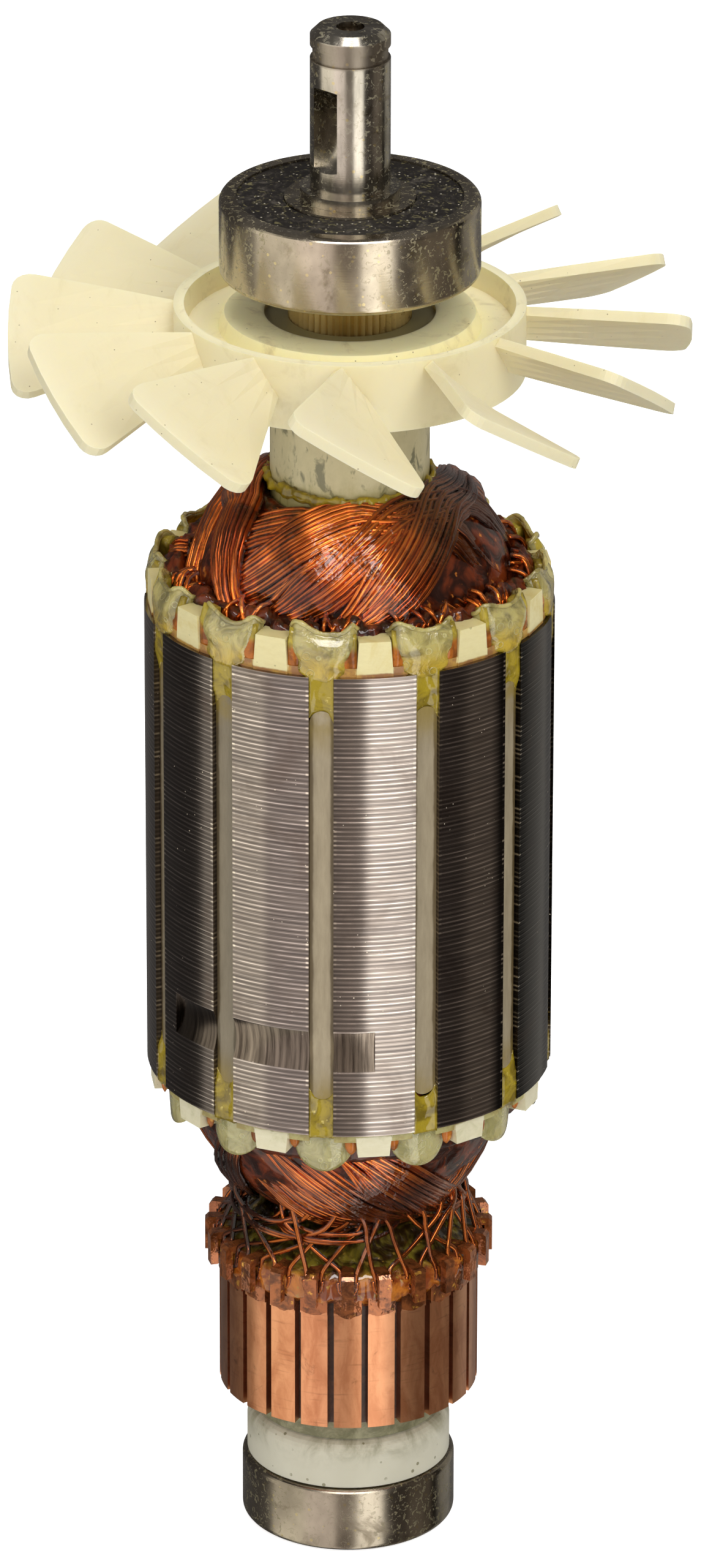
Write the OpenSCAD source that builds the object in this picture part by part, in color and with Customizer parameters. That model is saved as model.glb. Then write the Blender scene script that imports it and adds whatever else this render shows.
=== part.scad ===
// Motor armature for a brushed universal motor, standing on its commutator end.
// +Z runs up the shaft. The origin is the middle of the lower bearing's face.

/* [Shaft] */
// Diameter of the drive end
drive_end_d = 8; // [6.5:0.5:9]
// Length of the drive end beyond its bearing seat
drive_end_len = 16.5; // [15:0.5:30]
// Diameter that the core, commutator and drive bearing are pressed on
seat_d = 10; // [9:0.5:11]
// Height by which the bearing seat stands proud of the drive bearing
seat_proud = 1.1; // [0.5:0.1:3]
// Diameter of the journal in the commutator end bearing
journal_d = 8; // [7:0.5:8.5]
// Depth of the shaft's lower end inside the lower bearing
journal_sunk = 0.4; // [0.2:0.1:1]
// Diameter over the spline that drives the fan
spline_d = 12.3; // [11.7:0.1:12.6]
// Number of teeth on the spline
spline_teeth = 52; // [36:2:60]
// Depth of the spline's teeth
spline_depth = 0.35; // [0.2:0.05:0.5]
// Chamfer at both ends of the shaft
shaft_chamfer = 0.7; // [0.3:0.1:1]
// Diameter of the centre holes in both ends
centre_hole_d = 2.8; // [1.5:0.1:3.2]
// Depth of the centre holes
centre_hole_depth = 4; // [2:0.5:6]

/* [Keyway and ring groove] */
// Width of the Woodruff keyway
key_w = 3; // [2:0.5:3.5]
// Diameter of the cutter that sinks the keyway
key_cutter_d = 10; // [8:0.5:12]
// Depth of the keyway
key_depth = 2.5; // [1.5:0.1:3]
// Height of the keyway's middle above the bearing seat
key_up = 6.6; // [5.5:0.1:8]
// Direction in which the keyway faces
key_angle = 229; // [0:1:359]
// Width of the retaining ring groove
ring_groove_w = 1.3; // [0.8:0.1:2]
// Depth of the retaining ring groove
ring_groove_depth = 0.25; // [0.15:0.05:0.5]
// Distance from the shaft's end to the ring groove
ring_groove_from_end = 1.8; // [1:0.1:3]

/* [Drive bearing] */
// Outside diameter
drive_brg_od = 26; // [25.5:0.1:28]
// Width
drive_brg_w = 8; // [7.5:0.1:9]
// Ball diameter
drive_ball_d = 4.76; // [4.4:0.02:4.8]
// Number of balls
drive_balls = 7; // [5:1:8]

/* [Commutator end bearing] */
// Outside diameter
comm_brg_od = 22; // [21.5:0.1:24]
// Width
comm_brg_w = 7; // [6.8:0.1:8]
// Ball diameter
comm_ball_d = 3.97; // [3.7:0.01:4.1]
// Number of balls
comm_balls = 7; // [5:1:8]

/* [Bearing fits] */
// Clearance between a ball and its races
race_gap = 0.05; // [0.03:0.01:0.08]
// Running clearance of the seal's lip on the inner ring
lip_gap = 0.06; // [0.04:0.01:0.1]
// Thickness of a seal
seal_t = 0.9; // [0.6:0.05:1]
// Depth of a seal below the ring's face
seal_sunk = 0.25; // [0.1:0.05:0.35]
// Rounding of the outer ring's edges
ring_edge_r = 0.65; // [0.3:0.05:0.9]

/* [Fan] */
// Diameter over the blade tips
fan_d = 68; // [62:1:76]
// Number of blades
fan_blades = 12; // [8:1:14]
// Diameter of the hub drum
fan_hub_d = 35.1; // [33:0.1:37]
// Height of the hub drum
fan_hub_h = 7.1; // [6.8:0.1:9]
// Thickness of the drum's rim
fan_rim_t = 1.05; // [0.8:0.05:1.5]
// Diameter of the raised middle of the hub
fan_plateau_d = 25; // [22:0.5:28]
// Depth of the raised middle below the rim
fan_plateau_sunk = 0.9; // [0.3:0.1:1.4]
// Depth of the groove between the rim and the raised middle
fan_groove_depth = 2.4; // [1.6:0.1:3]
// Diameter of the recess round the spline
fan_recess_d = 17.1; // [15:0.1:19]
// Depth of the recess round the spline
fan_recess_depth = 0.4; // [0.2:0.1:1]
// Thickness of the hub's web
fan_web_t = 2; // [1.2:0.1:2.4]
// Diameter of the boss under the hub
fan_boss_d = 19; // [17:0.5:22]
// Number of ribs under the hub
fan_ribs = 6; // [3:1:8]
// Thickness of a rib
fan_rib_t = 1.2; // [0.8:0.1:2]
// Thickness of a blade
blade_t = 1.1; // [0.8:0.1:1.6]
// Width of a blade across the fan's axis at its root
blade_root_sweep = 2.8; // [2:0.1:4]
// Height of a blade at its root
blade_root_h = 3.7; // [2.4:0.1:4]
// Width of a blade across the fan's axis at its tip
blade_tip_sweep = 13.8; // [8:0.1:14.4]
// Height of a blade at its tip
blade_tip_h = 8.2; // [6:0.1:8.6]
// Radius of the tip's corners
blade_corner_r = 2.2; // [1:0.1:3]

/* [Core] */
// Diameter of the laminated core
core_d = 41.3; // [40:0.1:44]
// Length of the laminated core
core_len = 50; // [35:1:70]
// Width of a tooth
tooth_w = 3.2; // [2.8:0.1:3.6]
// Radius at the bottom of the slots
slot_bottom_r = 10.6; // [10.2:0.1:11.4]
// Width of a slot's mouth
slot_mouth = 2.5; // [2:0.1:2.8]
// Thickness of a tooth's tip beside the mouth
tip_t = 1.25; // [1.1:0.05:1.6]
// Direction of the first slot
slot_angle = 262.2; // [250:0.1:275]
// Height of the balancing cut
balance_h = 4.5; // [2:0.1:8]
// Depth of the balancing cut
balance_depth = 0.55; // [0.2:0.05:0.9]
// Height of the balancing cut's middle above the core's lower end
balance_up = 9.3; // [5:0.1:30]
// Arc that the balancing cut covers
balance_arc = 65; // [20:1:90]
// Direction in which the balancing cut starts
balance_angle = 212.3; // [180:0.1:260]

/* [Insulation] */
// Thickness of the fibre plates on the core's ends
plate_t = 0.9; // [0.6:0.1:1.1]
// Width of the block on each tooth
block_w = 3.7; // [2.8:0.1:4.2]
// Radial depth of the block on each tooth
block_depth = 3; // [2:0.1:3.2]
// Height of the upper blocks above the core
upper_block_h = 3.7; // [2:0.1:5]
// Height of the lower blocks below the core
lower_block_h = 2.5; // [1.5:0.1:4]
// Thickness of a slot liner
liner_t = 0.3; // [0.2:0.05:0.4]
// Height of the liners' collars above the core
collar_h = 5.8; // [4:0.1:7]
// Depth of the dip in a collar's lip
collar_dip = 1.3; // [0.5:0.1:2]
// Length of the liners' tongues below the core
tongue_h = 4.5; // [3.4:0.1:6]
// Thickness of a slot wedge
wedge_t = 0.6; // [0.4:0.05:0.7]
// Distance from the core's end to a wedge's end
wedge_in = 3.8; // [2:0.1:8]
// Diameter of the sleeves on the shaft
sleeve_d = 16; // [15:0.1:16.2]

/* [Winding] */
// Radius at which the coils pass the shaft's sleeve
coil_pass_r = 9.9; // [9.9:0.05:10.3]
// Depth of the inner coil side's middle below the core's surface
coil_side_in = 5.55; // [5.35:0.05:5.65]
// Step from the inner to the outer coil side in a slot
coil_side_step = 1.9; // [1.85:0.05:2]
// Width of a coil side in its slot
coil_side_w = 2.6; // [2.2:0.1:2.7]
// Width of a coil where it passes the shaft
coil_pass_w = 3.4; // [2.8:0.1:3.5]
// Thickness of a coil
coil_t = 1.55; // [1.2:0.05:1.6]
// Height of the first coil's middle beyond the core
first_coil_h = 1.95; // [1.9:0.05:2.4]
// Height that each further pair of coils adds
coil_rise = 2.24; // [2.2:0.02:2.6]
// Diameter of the wires that lead to the commutator
lead_d = 0.42; // [0.3:0.02:0.5]

/* [Commutator] */
// Diameter of the brush track
track_d = 26.7; // [26:0.1:28]
// Length of the brush track
track_len = 12.9; // [10:0.1:18]
// Width of the gap between bars
bar_gap = 0.67; // [0.4:0.01:0.8]
// Depth of the gap between bars
bar_undercut = 1.1; // [0.6:0.1:1.5]
// Height of the thicker end of the bars
riser_h = 4.1; // [3.6:0.1:6]
// Step from the brush track to the thicker end
riser_step = 0.2; // [0.1:0.05:0.4]
// Gap behind a hook, which holds the wire
hook_gap = 0.46; // [0.44:0.02:0.8]
// Width of a hook
hook_w = 1.25; // [0.8:0.05:1.4]
// Thickness of a hook
hook_t = 0.8; // [0.6:0.05:1]
// Length of a hook's tongue
hook_len = 3.6; // [2.5:0.1:4]
// Height of the moulding below the bars
foot_h = 3.2; // [2:0.1:6]
// Diameter of the moulding below the bars
foot_d = 19.2; // [19.1:0.1:20]
// Height of the insulating boot between commutator and bearing
boot_h = 5.4; // [4:0.1:8]
// Diameter of the insulating boot
boot_d = 21; // [19:0.1:21.4]
// Rounding of the boot's upper edge
boot_edge_r = 1.6; // [0.8:0.1:2]
// Running gap between the boot and the bearing's outer ring
boot_relief = 0.2; // [0.1:0.05:0.6]

/* [Spacing] */
// Distance from the commutator's top to the core
neck_len = 18.8; // [18.6:0.1:26]
// Distance from the core to the fan
fan_up = 24.8; // [20:0.1:32]
// Distance from the fan to the drive bearing
fan_gap = 3.3; // [2:0.1:6]

/* [Hidden] */
$fn = 96;
// Clearance between pieces that are pressed or glued together
fit_gap = 0.02;
// Overshoot of a cutting tool
cut = 1;
// Steps in the arcs of a profile
arc_n = 6;
// The winding below is laid out for this number of slots
slots = 12;
bars = 2 * slots;

// Heights up the shaft
z_boot = comm_brg_w;
z_foot = z_boot + boot_h;
z_bar = z_foot + foot_h;
z_riser = z_bar + track_len;
z_comm_top = z_riser + riser_h + hook_t;
z_core = z_comm_top + neck_len;
z_core_top = z_core + core_len;
z_fan = z_core_top + fan_up;
z_fan_top = z_fan + fan_hub_h;
z_drive_brg = z_fan_top + fan_gap;
z_seat = z_drive_brg + drive_brg_w + seat_proud;
z_top = z_seat + drive_end_len;

pitch = 360 / slots;
core_r = core_d / 2;
coil_side_r = core_r - coil_side_in;
seat_r = seat_d / 2;
sleeve_r = sleeve_d / 2;
bar_pitch = 360 / bars;
track_r = track_d / 2;
riser_r = track_r + riser_step;
hook_r = riser_r + hook_gap + hook_t;
gap_floor_r = track_r - bar_undercut;

// Bars are keyed into the moulding by a neck and a wider root
root_in_r = 8.7;
root_out_r = 9.5;
root_w = 1.7;
neck_out_r = 10.4;
neck_w = 1;

// Winding: two coils to a layer, each spanning five slots
layers = slots / 2;
span = 5 * pitch;
run_n = 16;
side_n = 8;
// Exponents of the curves by which a coil leaves and enters its slots
leave_pow = 4.8;
enter_pow = 8;
// Exponent that squares the corners of a coil's section
section_pow = 3.5;
// Exponent of the outward sag of the last pair of coils
drape_pow = 0.65;
winding_h = first_coil_h + (layers - 1) * coil_rise + coil_t / 2;

// Leads: sides of a wire, gap between crossing arms, angles from the hook at
// which an arm starts, clears the hook and ends, and radius of that end
wire_n = 6;
arms_apart = 0.7;
beside_hook = 4.2;
over_hook = 5.5;
lead_sweep = 30;
lead_top_r = coil_pass_r + 1.2;

// Bearing records: outside diameter, bore, width, ball diameter, balls, height
DRIVE = [drive_brg_od, seat_d, drive_brg_w, drive_ball_d, drive_balls, z_drive_brg];
COMM = [comm_brg_od, journal_d, comm_brg_w, comm_ball_d, comm_balls, 0];
// Heights of race shoulders and seal seats, as shares of a ball's diameter
shoulder_share = 0.33;
land_share = 0.52;
recess_share = 0.48;
// Cage: radial thickness, gap above the lower seal and height above the balls' middle
cage_t = 1.4;
cage_gap = 0.1;
cage_reach = 0.9;
pocket_gap = 0.06;

STEEL = [0.62, 0.60, 0.57];
RING_STEEL = [0.55, 0.54, 0.51];
RUBBER = [0.16, 0.15, 0.13];
IVORY = [0.92, 0.88, 0.70];
LAMINATION = [0.42, 0.40, 0.38];
FIBRE = [0.90, 0.86, 0.68];
PALE_FIBRE = [0.88, 0.86, 0.76];
LINER = [0.78, 0.74, 0.45];
SLEEVE = [0.66, 0.63, 0.50];
ENAMEL = [0.62, 0.24, 0.08];
COPPER = [0.80, 0.48, 0.36];
MOULDING = [0.55, 0.54, 0.42];
BOOT_WHITE = [0.90, 0.90, 0.84];

// ---------------------------------------------------------------- helpers

// Points of an arc about (x, y)
function arc(x, y, r, from, to, n = arc_n) =
    [for (i = [0:n]) let (a = from + (to - from) * i / n) [x + r * cos(a), y + r * sin(a)]];

// A tube of constant section, standing at height z
module tube(outer_r, inner_r, z, h) {
    translate([0, 0, z])
        linear_extrude(height = h)
            difference() {
                circle(r = outer_r);
                circle(r = inner_r);
            }
}

function two_digits(i) = str(i < 10 ? "0" : "", i);
function mix(a, b, t) = a + (b - a) * t;
function unit(v) = v / norm(v);
function polar(r, a, z) = [r * cos(a), r * sin(a), z];

// Solid through a list of rings that each have the same even number of points,
// running anticlockwise as seen from the far end. It is capped unless closed.
module skin(rings, closed = false) {
    count = len(rings[0]);
    last = (len(rings) - 1) * count;
    half_count = count / 2 - 2;
    side = [for (i = [0:len(rings) - (closed ? 1 : 2)]) for (j = [0:count - 1])
        let (
            k = (j + 1) % count,
            low = i * count,
            high = ((i + 1) % len(rings)) * count
        )
        each [[low + j, high + j, low + k], [low + k, high + j, high + k]]];
    near = [for (j = [0:half_count])
        each [[j, j + 1, count - 1 - j], [j + 1, count - 2 - j, count - 1 - j]]];
    far = [for (f = near) [last + f[1], last + f[0], last + f[2]]];
    polyhedron(
        points = [for (r = rings) each r],
        faces = closed ? side : concat(side, near, far)
    );
}

// ------------------------------------------------------------------ shaft

module spline_outline() {
    step = 180 / spline_teeth;
    polygon([
        for (i = [0:2 * spline_teeth - 1])
            let (r = spline_d / 2 - (i % 2) * spline_depth)
            [r * cos(i * step), r * sin(i * step)]
    ]);
}

// Radius and height of every step along the shaft
module shaft_profile() {
    end_r = drive_end_d / 2;
    journal_r = journal_d / 2;
    groove_top = z_top - ring_groove_from_end;
    groove_bottom = groove_top - ring_groove_w;
    polygon([
        [0, journal_sunk],
        [journal_r - shaft_chamfer, journal_sunk],
        [journal_r, journal_sunk + shaft_chamfer],
        [journal_r, z_foot],
        [seat_r, z_foot],
        [seat_r, z_seat],
        [end_r, z_seat],
        [end_r, groove_bottom],
        [end_r - ring_groove_depth, groove_bottom],
        [end_r - ring_groove_depth, groove_top],
        [end_r, groove_top],
        [end_r, z_top - shaft_chamfer],
        [end_r - shaft_chamfer, z_top],
        [0, z_top]
    ]);
}

// A centre hole, pointing down from height zero
module centre_hole() {
    r = centre_hole_d / 2;
    rotate_extrude()
        polygon([[0, cut], [r, cut], [r, r - centre_hole_depth], [0, -centre_hole_depth]]);
}

module keyway() {
    cutter_r = key_cutter_d / 2;
    reach = drive_end_d / 2 - key_depth + cutter_r;
    rotate([0, 0, key_angle])
        translate([reach, key_w / 2, z_seat + key_up])
            rotate([90, 0, 0])
                cylinder(r = cutter_r, h = key_w);
}

module shaft() {
    color(STEEL)
        difference() {
            union() {
                rotate_extrude() shaft_profile();
                translate([0, 0, z_fan])
                    linear_extrude(height = z_drive_brg - z_fan) spline_outline();
            }
            translate([0, 0, z_top]) centre_hole();
            translate([0, 0, journal_sunk]) mirror([0, 0, 1]) centre_hole();
            keyway();
        }
}

// --------------------------------------------------------------- bearings

function brg_pitch_r(b) = (b[0] + b[1]) / 4;
function brg_mid(b) = b[5] + b[2] / 2;
function race_r(b) = b[3] / 2 + race_gap;
function inner_shoulder_r(b) = brg_pitch_r(b) - shoulder_share * b[3];
function outer_shoulder_r(b) = brg_pitch_r(b) + shoulder_share * b[3];
function land_r(b) = brg_pitch_r(b) - land_share * b[3];
function recess_r(b) = brg_pitch_r(b) + recess_share * b[3];
seal_room = seal_sunk + seal_t + 0.05;

module race_groove(b) {
    translate([brg_pitch_r(b), brg_mid(b)]) circle(r = race_r(b));
}

module bearing_outer_ring(b) {
    r = b[0] / 2;
    e = ring_edge_r;
    low = b[5];
    high = low + b[2];
    color(RING_STEEL)
        rotate_extrude()
            difference() {
                polygon(concat(
                    [[recess_r(b), low]],
                    arc(r - e, low + e, e, -90, 0),
                    arc(r - e, high - e, e, 0, 90),
                    [
                        [recess_r(b), high],
                        [recess_r(b), high - seal_room],
                        [outer_shoulder_r(b), high - seal_room],
                        [outer_shoulder_r(b), low + seal_room],
                        [recess_r(b), low + seal_room]
                    ]
                ));
                race_groove(b);
            }
}

module bearing_inner_ring(b) {
    r = b[1] / 2 + fit_gap;
    low = b[5];
    high = low + b[2];
    color(RING_STEEL)
        rotate_extrude()
            difference() {
                polygon([
                    [r, low],
                    [land_r(b), low],
                    [land_r(b), low + seal_room],
                    [inner_shoulder_r(b), low + seal_room],
                    [inner_shoulder_r(b), high - seal_room],
                    [land_r(b), high - seal_room],
                    [land_r(b), high],
                    [r, high]
                ]);
                race_groove(b);
            }
}

module bearing_seal(b, upper) {
    z = upper ? b[5] + b[2] - seal_sunk - seal_t : b[5] + seal_sunk;
    color(RUBBER)
        tube(recess_r(b) - fit_gap, land_r(b) + lip_gap, z, seal_t);
}

module ball_set(b, r) {
    for (i = [0:b[4] - 1])
        rotate([0, 0, i * 360 / b[4]])
            translate([brg_pitch_r(b), 0, brg_mid(b)])
                sphere(r = r);
}

module bearing_balls(b) {
    color(STEEL) ball_set(b, b[3] / 2);
}

// A crown cage, snapped over the balls from below
module bearing_cage(b) {
    low = b[5] + seal_sunk + seal_t + cage_gap;
    color(BOOT_WHITE)
        difference() {
            tube(
                brg_pitch_r(b) + cage_t / 2,
                brg_pitch_r(b) - cage_t / 2,
                low,
                brg_mid(b) + cage_reach - low
            );
            ball_set(b, b[3] / 2 + pocket_gap);
        }
}

// -------------------------------------------------------------------- fan

fan_r = fan_d / 2;
fan_hub_r = fan_hub_d / 2;
blade_n = 4;
blade_rings = 7;
// Depth to which a blade's root is sunk into the drum's wall
root_sunk = 0.8;
// Height of the blades' middle line above the drum's lower face
blade_root_mid = 4.8;
blade_tip_mid = 3.55;
// Share of its width by which a blade lies behind its own radius
blade_lag = 0.05;

// Radius of each ring of points along a blade
function ring_radius(i) =
    let (body = fan_r - blade_corner_r, body_rings = 2)
    i <= body_rings
        ? fan_hub_r - root_sunk + (body - fan_hub_r + root_sunk) * i / body_rings
        : body + blade_corner_r * sin(90 * (i - body_rings) / (blade_rings - body_rings));
// How far the rounded corners narrow a blade at radius r, as a share of its width
function corner_share(r) =
    let (into = max(0, r - fan_r + blade_corner_r), full = norm([blade_tip_sweep, blade_tip_h]))
    1 - 1.9 * (blade_corner_r - sqrt(max(0.001, blade_corner_r * blade_corner_r - into * into))) / full;
function outward_share(r) = (r - fan_hub_r) / (fan_r - fan_hub_r);

// One ring of points round a blade: u runs across it and side is its face
function blade_point(r, u, side) =
    let (
        t = outward_share(r),
        sweep = mix(blade_root_sweep, blade_tip_sweep, t) * corner_share(r),
        height = mix(blade_root_h, blade_tip_h, t) * corner_share(r),
        slant = atan2(height, sweep),
        across = (u + blade_lag) * sweep + side * blade_t / 2 * sin(slant),
        up = mix(blade_root_mid, blade_tip_mid, t) - u * height + side * blade_t / 2 * cos(slant),
        a = asin(across / r)
    )
    [r * cos(a), r * sin(a), up];

function blade_ring(r) = concat(
    [for (j = [0:blade_n]) blade_point(r, j / blade_n - 0.5, -1)],
    [for (j = [blade_n:-1:0]) blade_point(r, j / blade_n - 0.5, 1)]
);

module blade() {
    skin([for (i = [0:blade_rings]) blade_ring(ring_radius(i))]);
}

module fan_hub() {
    rim_in = fan_hub_r - fan_rim_t;
    plateau_z = fan_hub_h - fan_plateau_sunk;
    groove_z = fan_hub_h - fan_groove_depth;
    web_z = groove_z - fan_web_t;
    boss_r = fan_boss_d / 2;
    bore_r = spline_d / 2 + fit_gap;
    recess_r = fan_recess_d / 2;
    rotate_extrude()
        polygon([
            [bore_r, 0],
            [boss_r, 0],
            [boss_r, web_z],
            [rim_in, web_z],
            [rim_in, 0],
            [fan_hub_r, 0],
            [fan_hub_r, fan_hub_h],
            [rim_in, fan_hub_h],
            [rim_in - 0.3, groove_z],
            [fan_plateau_d / 2 + 0.6, groove_z],
            [fan_plateau_d / 2, plateau_z],
            [recess_r, plateau_z],
            [recess_r, plateau_z - fan_recess_depth],
            [bore_r, plateau_z - fan_recess_depth]
        ]);
    for (i = [0:fan_ribs - 1])
        rotate([0, 0, (i + 0.5) * 360 / fan_ribs])
            translate([boss_r - 0.5, -fan_rib_t / 2, 0.6])
                cube([rim_in - boss_r + 1, fan_rib_t, web_z]);
}

module fan() {
    color(IVORY)
        translate([0, 0, z_fan]) {
            fan_hub();
            for (i = [0:fan_blades - 1])
                rotate([0, 0, i * 360 / fan_blades]) blade();
        }
}

// ------------------------------------------------------------------- core

half = pitch / 2;
shoulder_r = core_r - tip_t - 0.8;
mouth_r = core_r - tip_t;

// Half the slot's width at radius y, in from the teeth by a margin
function slot_half(y, margin) = y * tan(half) - (tooth_w / 2 + margin) / cos(half);
function slot_bottom_arc_r(margin) =
    ((slot_bottom_r + margin) * sin(half) - tooth_w / 2 - margin) / (1 - sin(half));

// Right half of a slot's outline, from its bottom up to the shoulder
function slot_side(margin) =
    let (r = slot_bottom_arc_r(margin), y = slot_bottom_r + margin + r)
    concat(
        arc(0, y, r, -90, -half),
        [[slot_half(shoulder_r - margin, margin), shoulder_r - margin]],
        [[slot_mouth / 2, mouth_r - margin]]
    );
function mirrored(points) = [for (i = [len(points) - 1:-1:1]) [-points[i][0], points[i][1]]];

// The closed outline of a slot, with +Y outwards
module slot_outline(margin) {
    side = slot_side(margin);
    polygon(concat(side, mirrored(side)));
}

module slot_opening() {
    slot_outline(0);
    translate([-slot_mouth / 2, shoulder_r])
        square([slot_mouth, core_r - shoulder_r + cut]);
}

// Children, once at each slot, with +Y turned to the slot's direction
module at_slots(offset = 0) {
    for (i = [0:slots - 1])
        rotate([0, 0, slot_angle - 90 + (i + offset) * pitch]) children();
}

module core_outline() {
    difference() {
        circle(r = core_r);
        circle(r = seat_r + fit_gap);
        at_slots() slot_opening();
    }
}

// The shallow hollow that a balancing machine mills into the teeth
module balance_cut() {
    r = (balance_h * balance_h / 4 + balance_depth * balance_depth) / (2 * balance_depth);
    rotate([0, 0, balance_angle])
        rotate_extrude(angle = balance_arc)
            translate([core_r - balance_depth + r, z_core + balance_up])
                circle(r = r);
}

module core_stack() {
    color(LAMINATION)
        difference() {
            translate([0, 0, z_core])
                linear_extrude(height = core_len) core_outline();
            balance_cut();
        }
}

// ------------------------------------------------------------- insulation

// Block on one tooth, standing up by h, with +Y outwards
module tooth_block(h) {
    out_r = core_r - 0.45;
    top_share = 0.86;
    intersection() {
        linear_extrude(height = h)
            polygon([
                [-block_w * 0.42, out_r - block_depth],
                [block_w * 0.42, out_r - block_depth],
                [block_w / 2, out_r],
                [-block_w / 2, out_r]
            ]);
        translate([0, core_r, 0])
            rotate([90, 0, 0])
                linear_extrude(height = core_r)
                    polygon([
                        [-block_w / 2, 0],
                        [block_w / 2, 0],
                        [block_w / 2 * top_share, h],
                        [-block_w / 2 * top_share, h]
                    ]);
    }
}

// Fibre plate with a block on each tooth, facing up from height zero
module end_insulator(block_h) {
    linear_extrude(height = plate_t)
        difference() {
            circle(r = core_r - 0.5);
            circle(r = seat_r + fit_gap);
            at_slots() slot_opening();
        }
    difference() {
        at_slots(0.5) tooth_block(block_h);
        translate([0, 0, -cut])
            linear_extrude(height = block_h + 2 * cut)
                at_slots() slot_outline(0);
    }
}

module upper_end_insulator() {
    color(FIBRE)
        translate([0, 0, z_core_top]) end_insulator(upper_block_h);
}

module lower_end_insulator() {
    color(PALE_FIBRE)
        translate([0, 0, z_core]) mirror([0, 0, 1]) end_insulator(lower_block_h);
}

// Outer wall radius of the liners, which is all that stands above the core
collar_in_r = coil_side_r + coil_side_step + coil_t / 2 + 0.35;

module liner_wall() {
    difference() {
        slot_outline(fit_gap);
        slot_outline(fit_gap + liner_t);
    }
}

module slot_liner() {
    lip_r = 4.5;
    tongue_r = 3.1;
    // Walls inside the core
    translate([0, 0, z_core - plate_t])
        linear_extrude(height = core_len + 2 * plate_t) liner_wall();
    // Collar above the core, with a dip in its lip
    difference() {
        translate([0, 0, z_core_top + plate_t])
            linear_extrude(height = collar_h - plate_t)
                intersection() {
                    liner_wall();
                    translate([-core_r, collar_in_r]) square([2 * core_r, core_r]);
                }
        translate([0, core_r, z_core_top + collar_h - collar_dip + lip_r])
            rotate([90, 0, 0])
                cylinder(r = lip_r, h = core_r);
    }
    // Rounded tongue below the core
    intersection() {
        translate([0, 0, z_core - tongue_h])
            linear_extrude(height = tongue_h - plate_t)
                intersection() {
                    liner_wall();
                    translate([-core_r, collar_in_r]) square([2 * core_r, core_r]);
                }
        translate([0, core_r, z_core - tongue_h + tongue_r])
            rotate([90, 0, 0])
                linear_extrude(height = core_r) {
                    circle(r = tongue_r);
                    translate([-tongue_r, 0]) square([2 * tongue_r, tongue_h]);
                }
    }
}

module slot_liners() {
    color(LINER) at_slots() slot_liner();
}

// A round-ended strip in a slot's mouth, outside the liner
module slot_wedge() {
    w = slot_mouth - 2 * fit_gap;
    straight = core_len - 2 * wedge_in - w;
    translate([0, mouth_r + fit_gap + wedge_t, z_core + wedge_in + w / 2])
        rotate([90, 0, 0])
            linear_extrude(height = wedge_t) {
                circle(r = w / 2);
                translate([-w / 2, 0]) square([w, straight]);
                translate([0, straight]) circle(r = w / 2);
            }
}

module slot_wedges() {
    color(SLEEVE) at_slots() slot_wedge();
}

module upper_sleeve() {
    low = z_core_top + plate_t;
    color(SLEEVE) tube(sleeve_r, seat_r + fit_gap, low, z_fan - low);
}

module lower_sleeve() {
    low = z_comm_top - hook_t;
    color(SLEEVE) tube(sleeve_r, seat_r + fit_gap, low, z_core - plate_t - low);
}

// ---------------------------------------------------------------- winding

// Radius at which a coil leaves (or enters) its slot. Each slot holds a coil
// from two neighbouring layers, and the one that is wound later lies outside.
function leave_r(layer) = coil_side_r + (layer == layers - 1 ? coil_side_step : 0);
function enter_r(layer) = coil_side_r + (layer == 0 ? 0 : coil_side_step);

// Radius of a coil at angle t from the middle of its run: straight from the
// slot until it meets the sleeve, then round the sleeve
function taut_r(t, slot_r) =
    let (straight_from = span / 2 - acos(coil_pass_r / slot_r))
    coil_pass_r / cos(max(0, abs(t) - straight_from));
// The last pair of coils sags outwards over the others as it leaves its slots
function draped_r(t, slot_r) =
    coil_pass_r + (slot_r - coil_pass_r) * pow((1 - cos(180 * abs(t) / (span / 2))) / 2, drape_pow);

// One run over an end of the core: angle, radius, height and half width.
// Seen flat, the run is half of a squared-off ellipse, and its points gather
// at the two corners.
function run_point(layer, i) =
    let (
        phase = 180 * i / run_n + 8.1 * sin(720 * i / run_n),
        leaving = phase < 90,
        p = leaving ? leave_pow : enter_pow,
        size = pow(pow(abs(cos(phase)), p) + pow(sin(phase), p), -1 / p),
        u = -cos(phase) * size,
        t = span / 2 * u,
        slot_r = leaving ? leave_r(layer) : enter_r(layer),
        side = pow(abs(u), 3)
    )
    [
        t,
        leaving && layer == layers - 1 ? draped_r(t, slot_r) : taut_r(t, slot_r),
        (first_coil_h + coil_rise * layer) * sin(phase) * size,
        mix(coil_pass_w, coil_side_w, side) / 2
    ];

// Points and half widths round a whole coil: over the top, down through the
// far slot, back under the core and up through the near slot
function coil_stations(k) =
    let (layer = k % layers, middle = slot_angle + (k + 1 - layers) * pitch + span / 2)
    concat(
        [for (i = [0:run_n]) let (s = run_point(layer, i))
            concat(polar(s[1], middle + s[0], z_core_top + s[2]), [s[3], 1])],
        [for (i = [run_n:-1:0]) let (s = run_point(layer, i))
            concat(polar(s[1], middle + s[0], z_core - s[2]), [s[3], -1])]
    );

function place(s) = [s[0], s[1], s[2]];

// Direction of a coil's width: across its path, and along the core's rim in a slot
function width_dir(stations, i, heading) =
    let (
        s = stations[i],
        n = run_n + 1,
        rim = unit([-s[1], s[0], 0]),
        flat = unit([heading[1], -heading[0], 0])
    )
    i == 0 || i == 2 * n - 1 ? rim
    : i == n - 1 || i == n ? -rim
    : s[4] * flat;

function section_point(j) =
    let (
        a = 360 * (j + 0.5) / side_n,
        scale = pow(pow(abs(cos(a)), section_pow) + pow(abs(sin(a)), section_pow), -1 / section_pow)
    )
    [scale * cos(a), scale * sin(a)];

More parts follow.
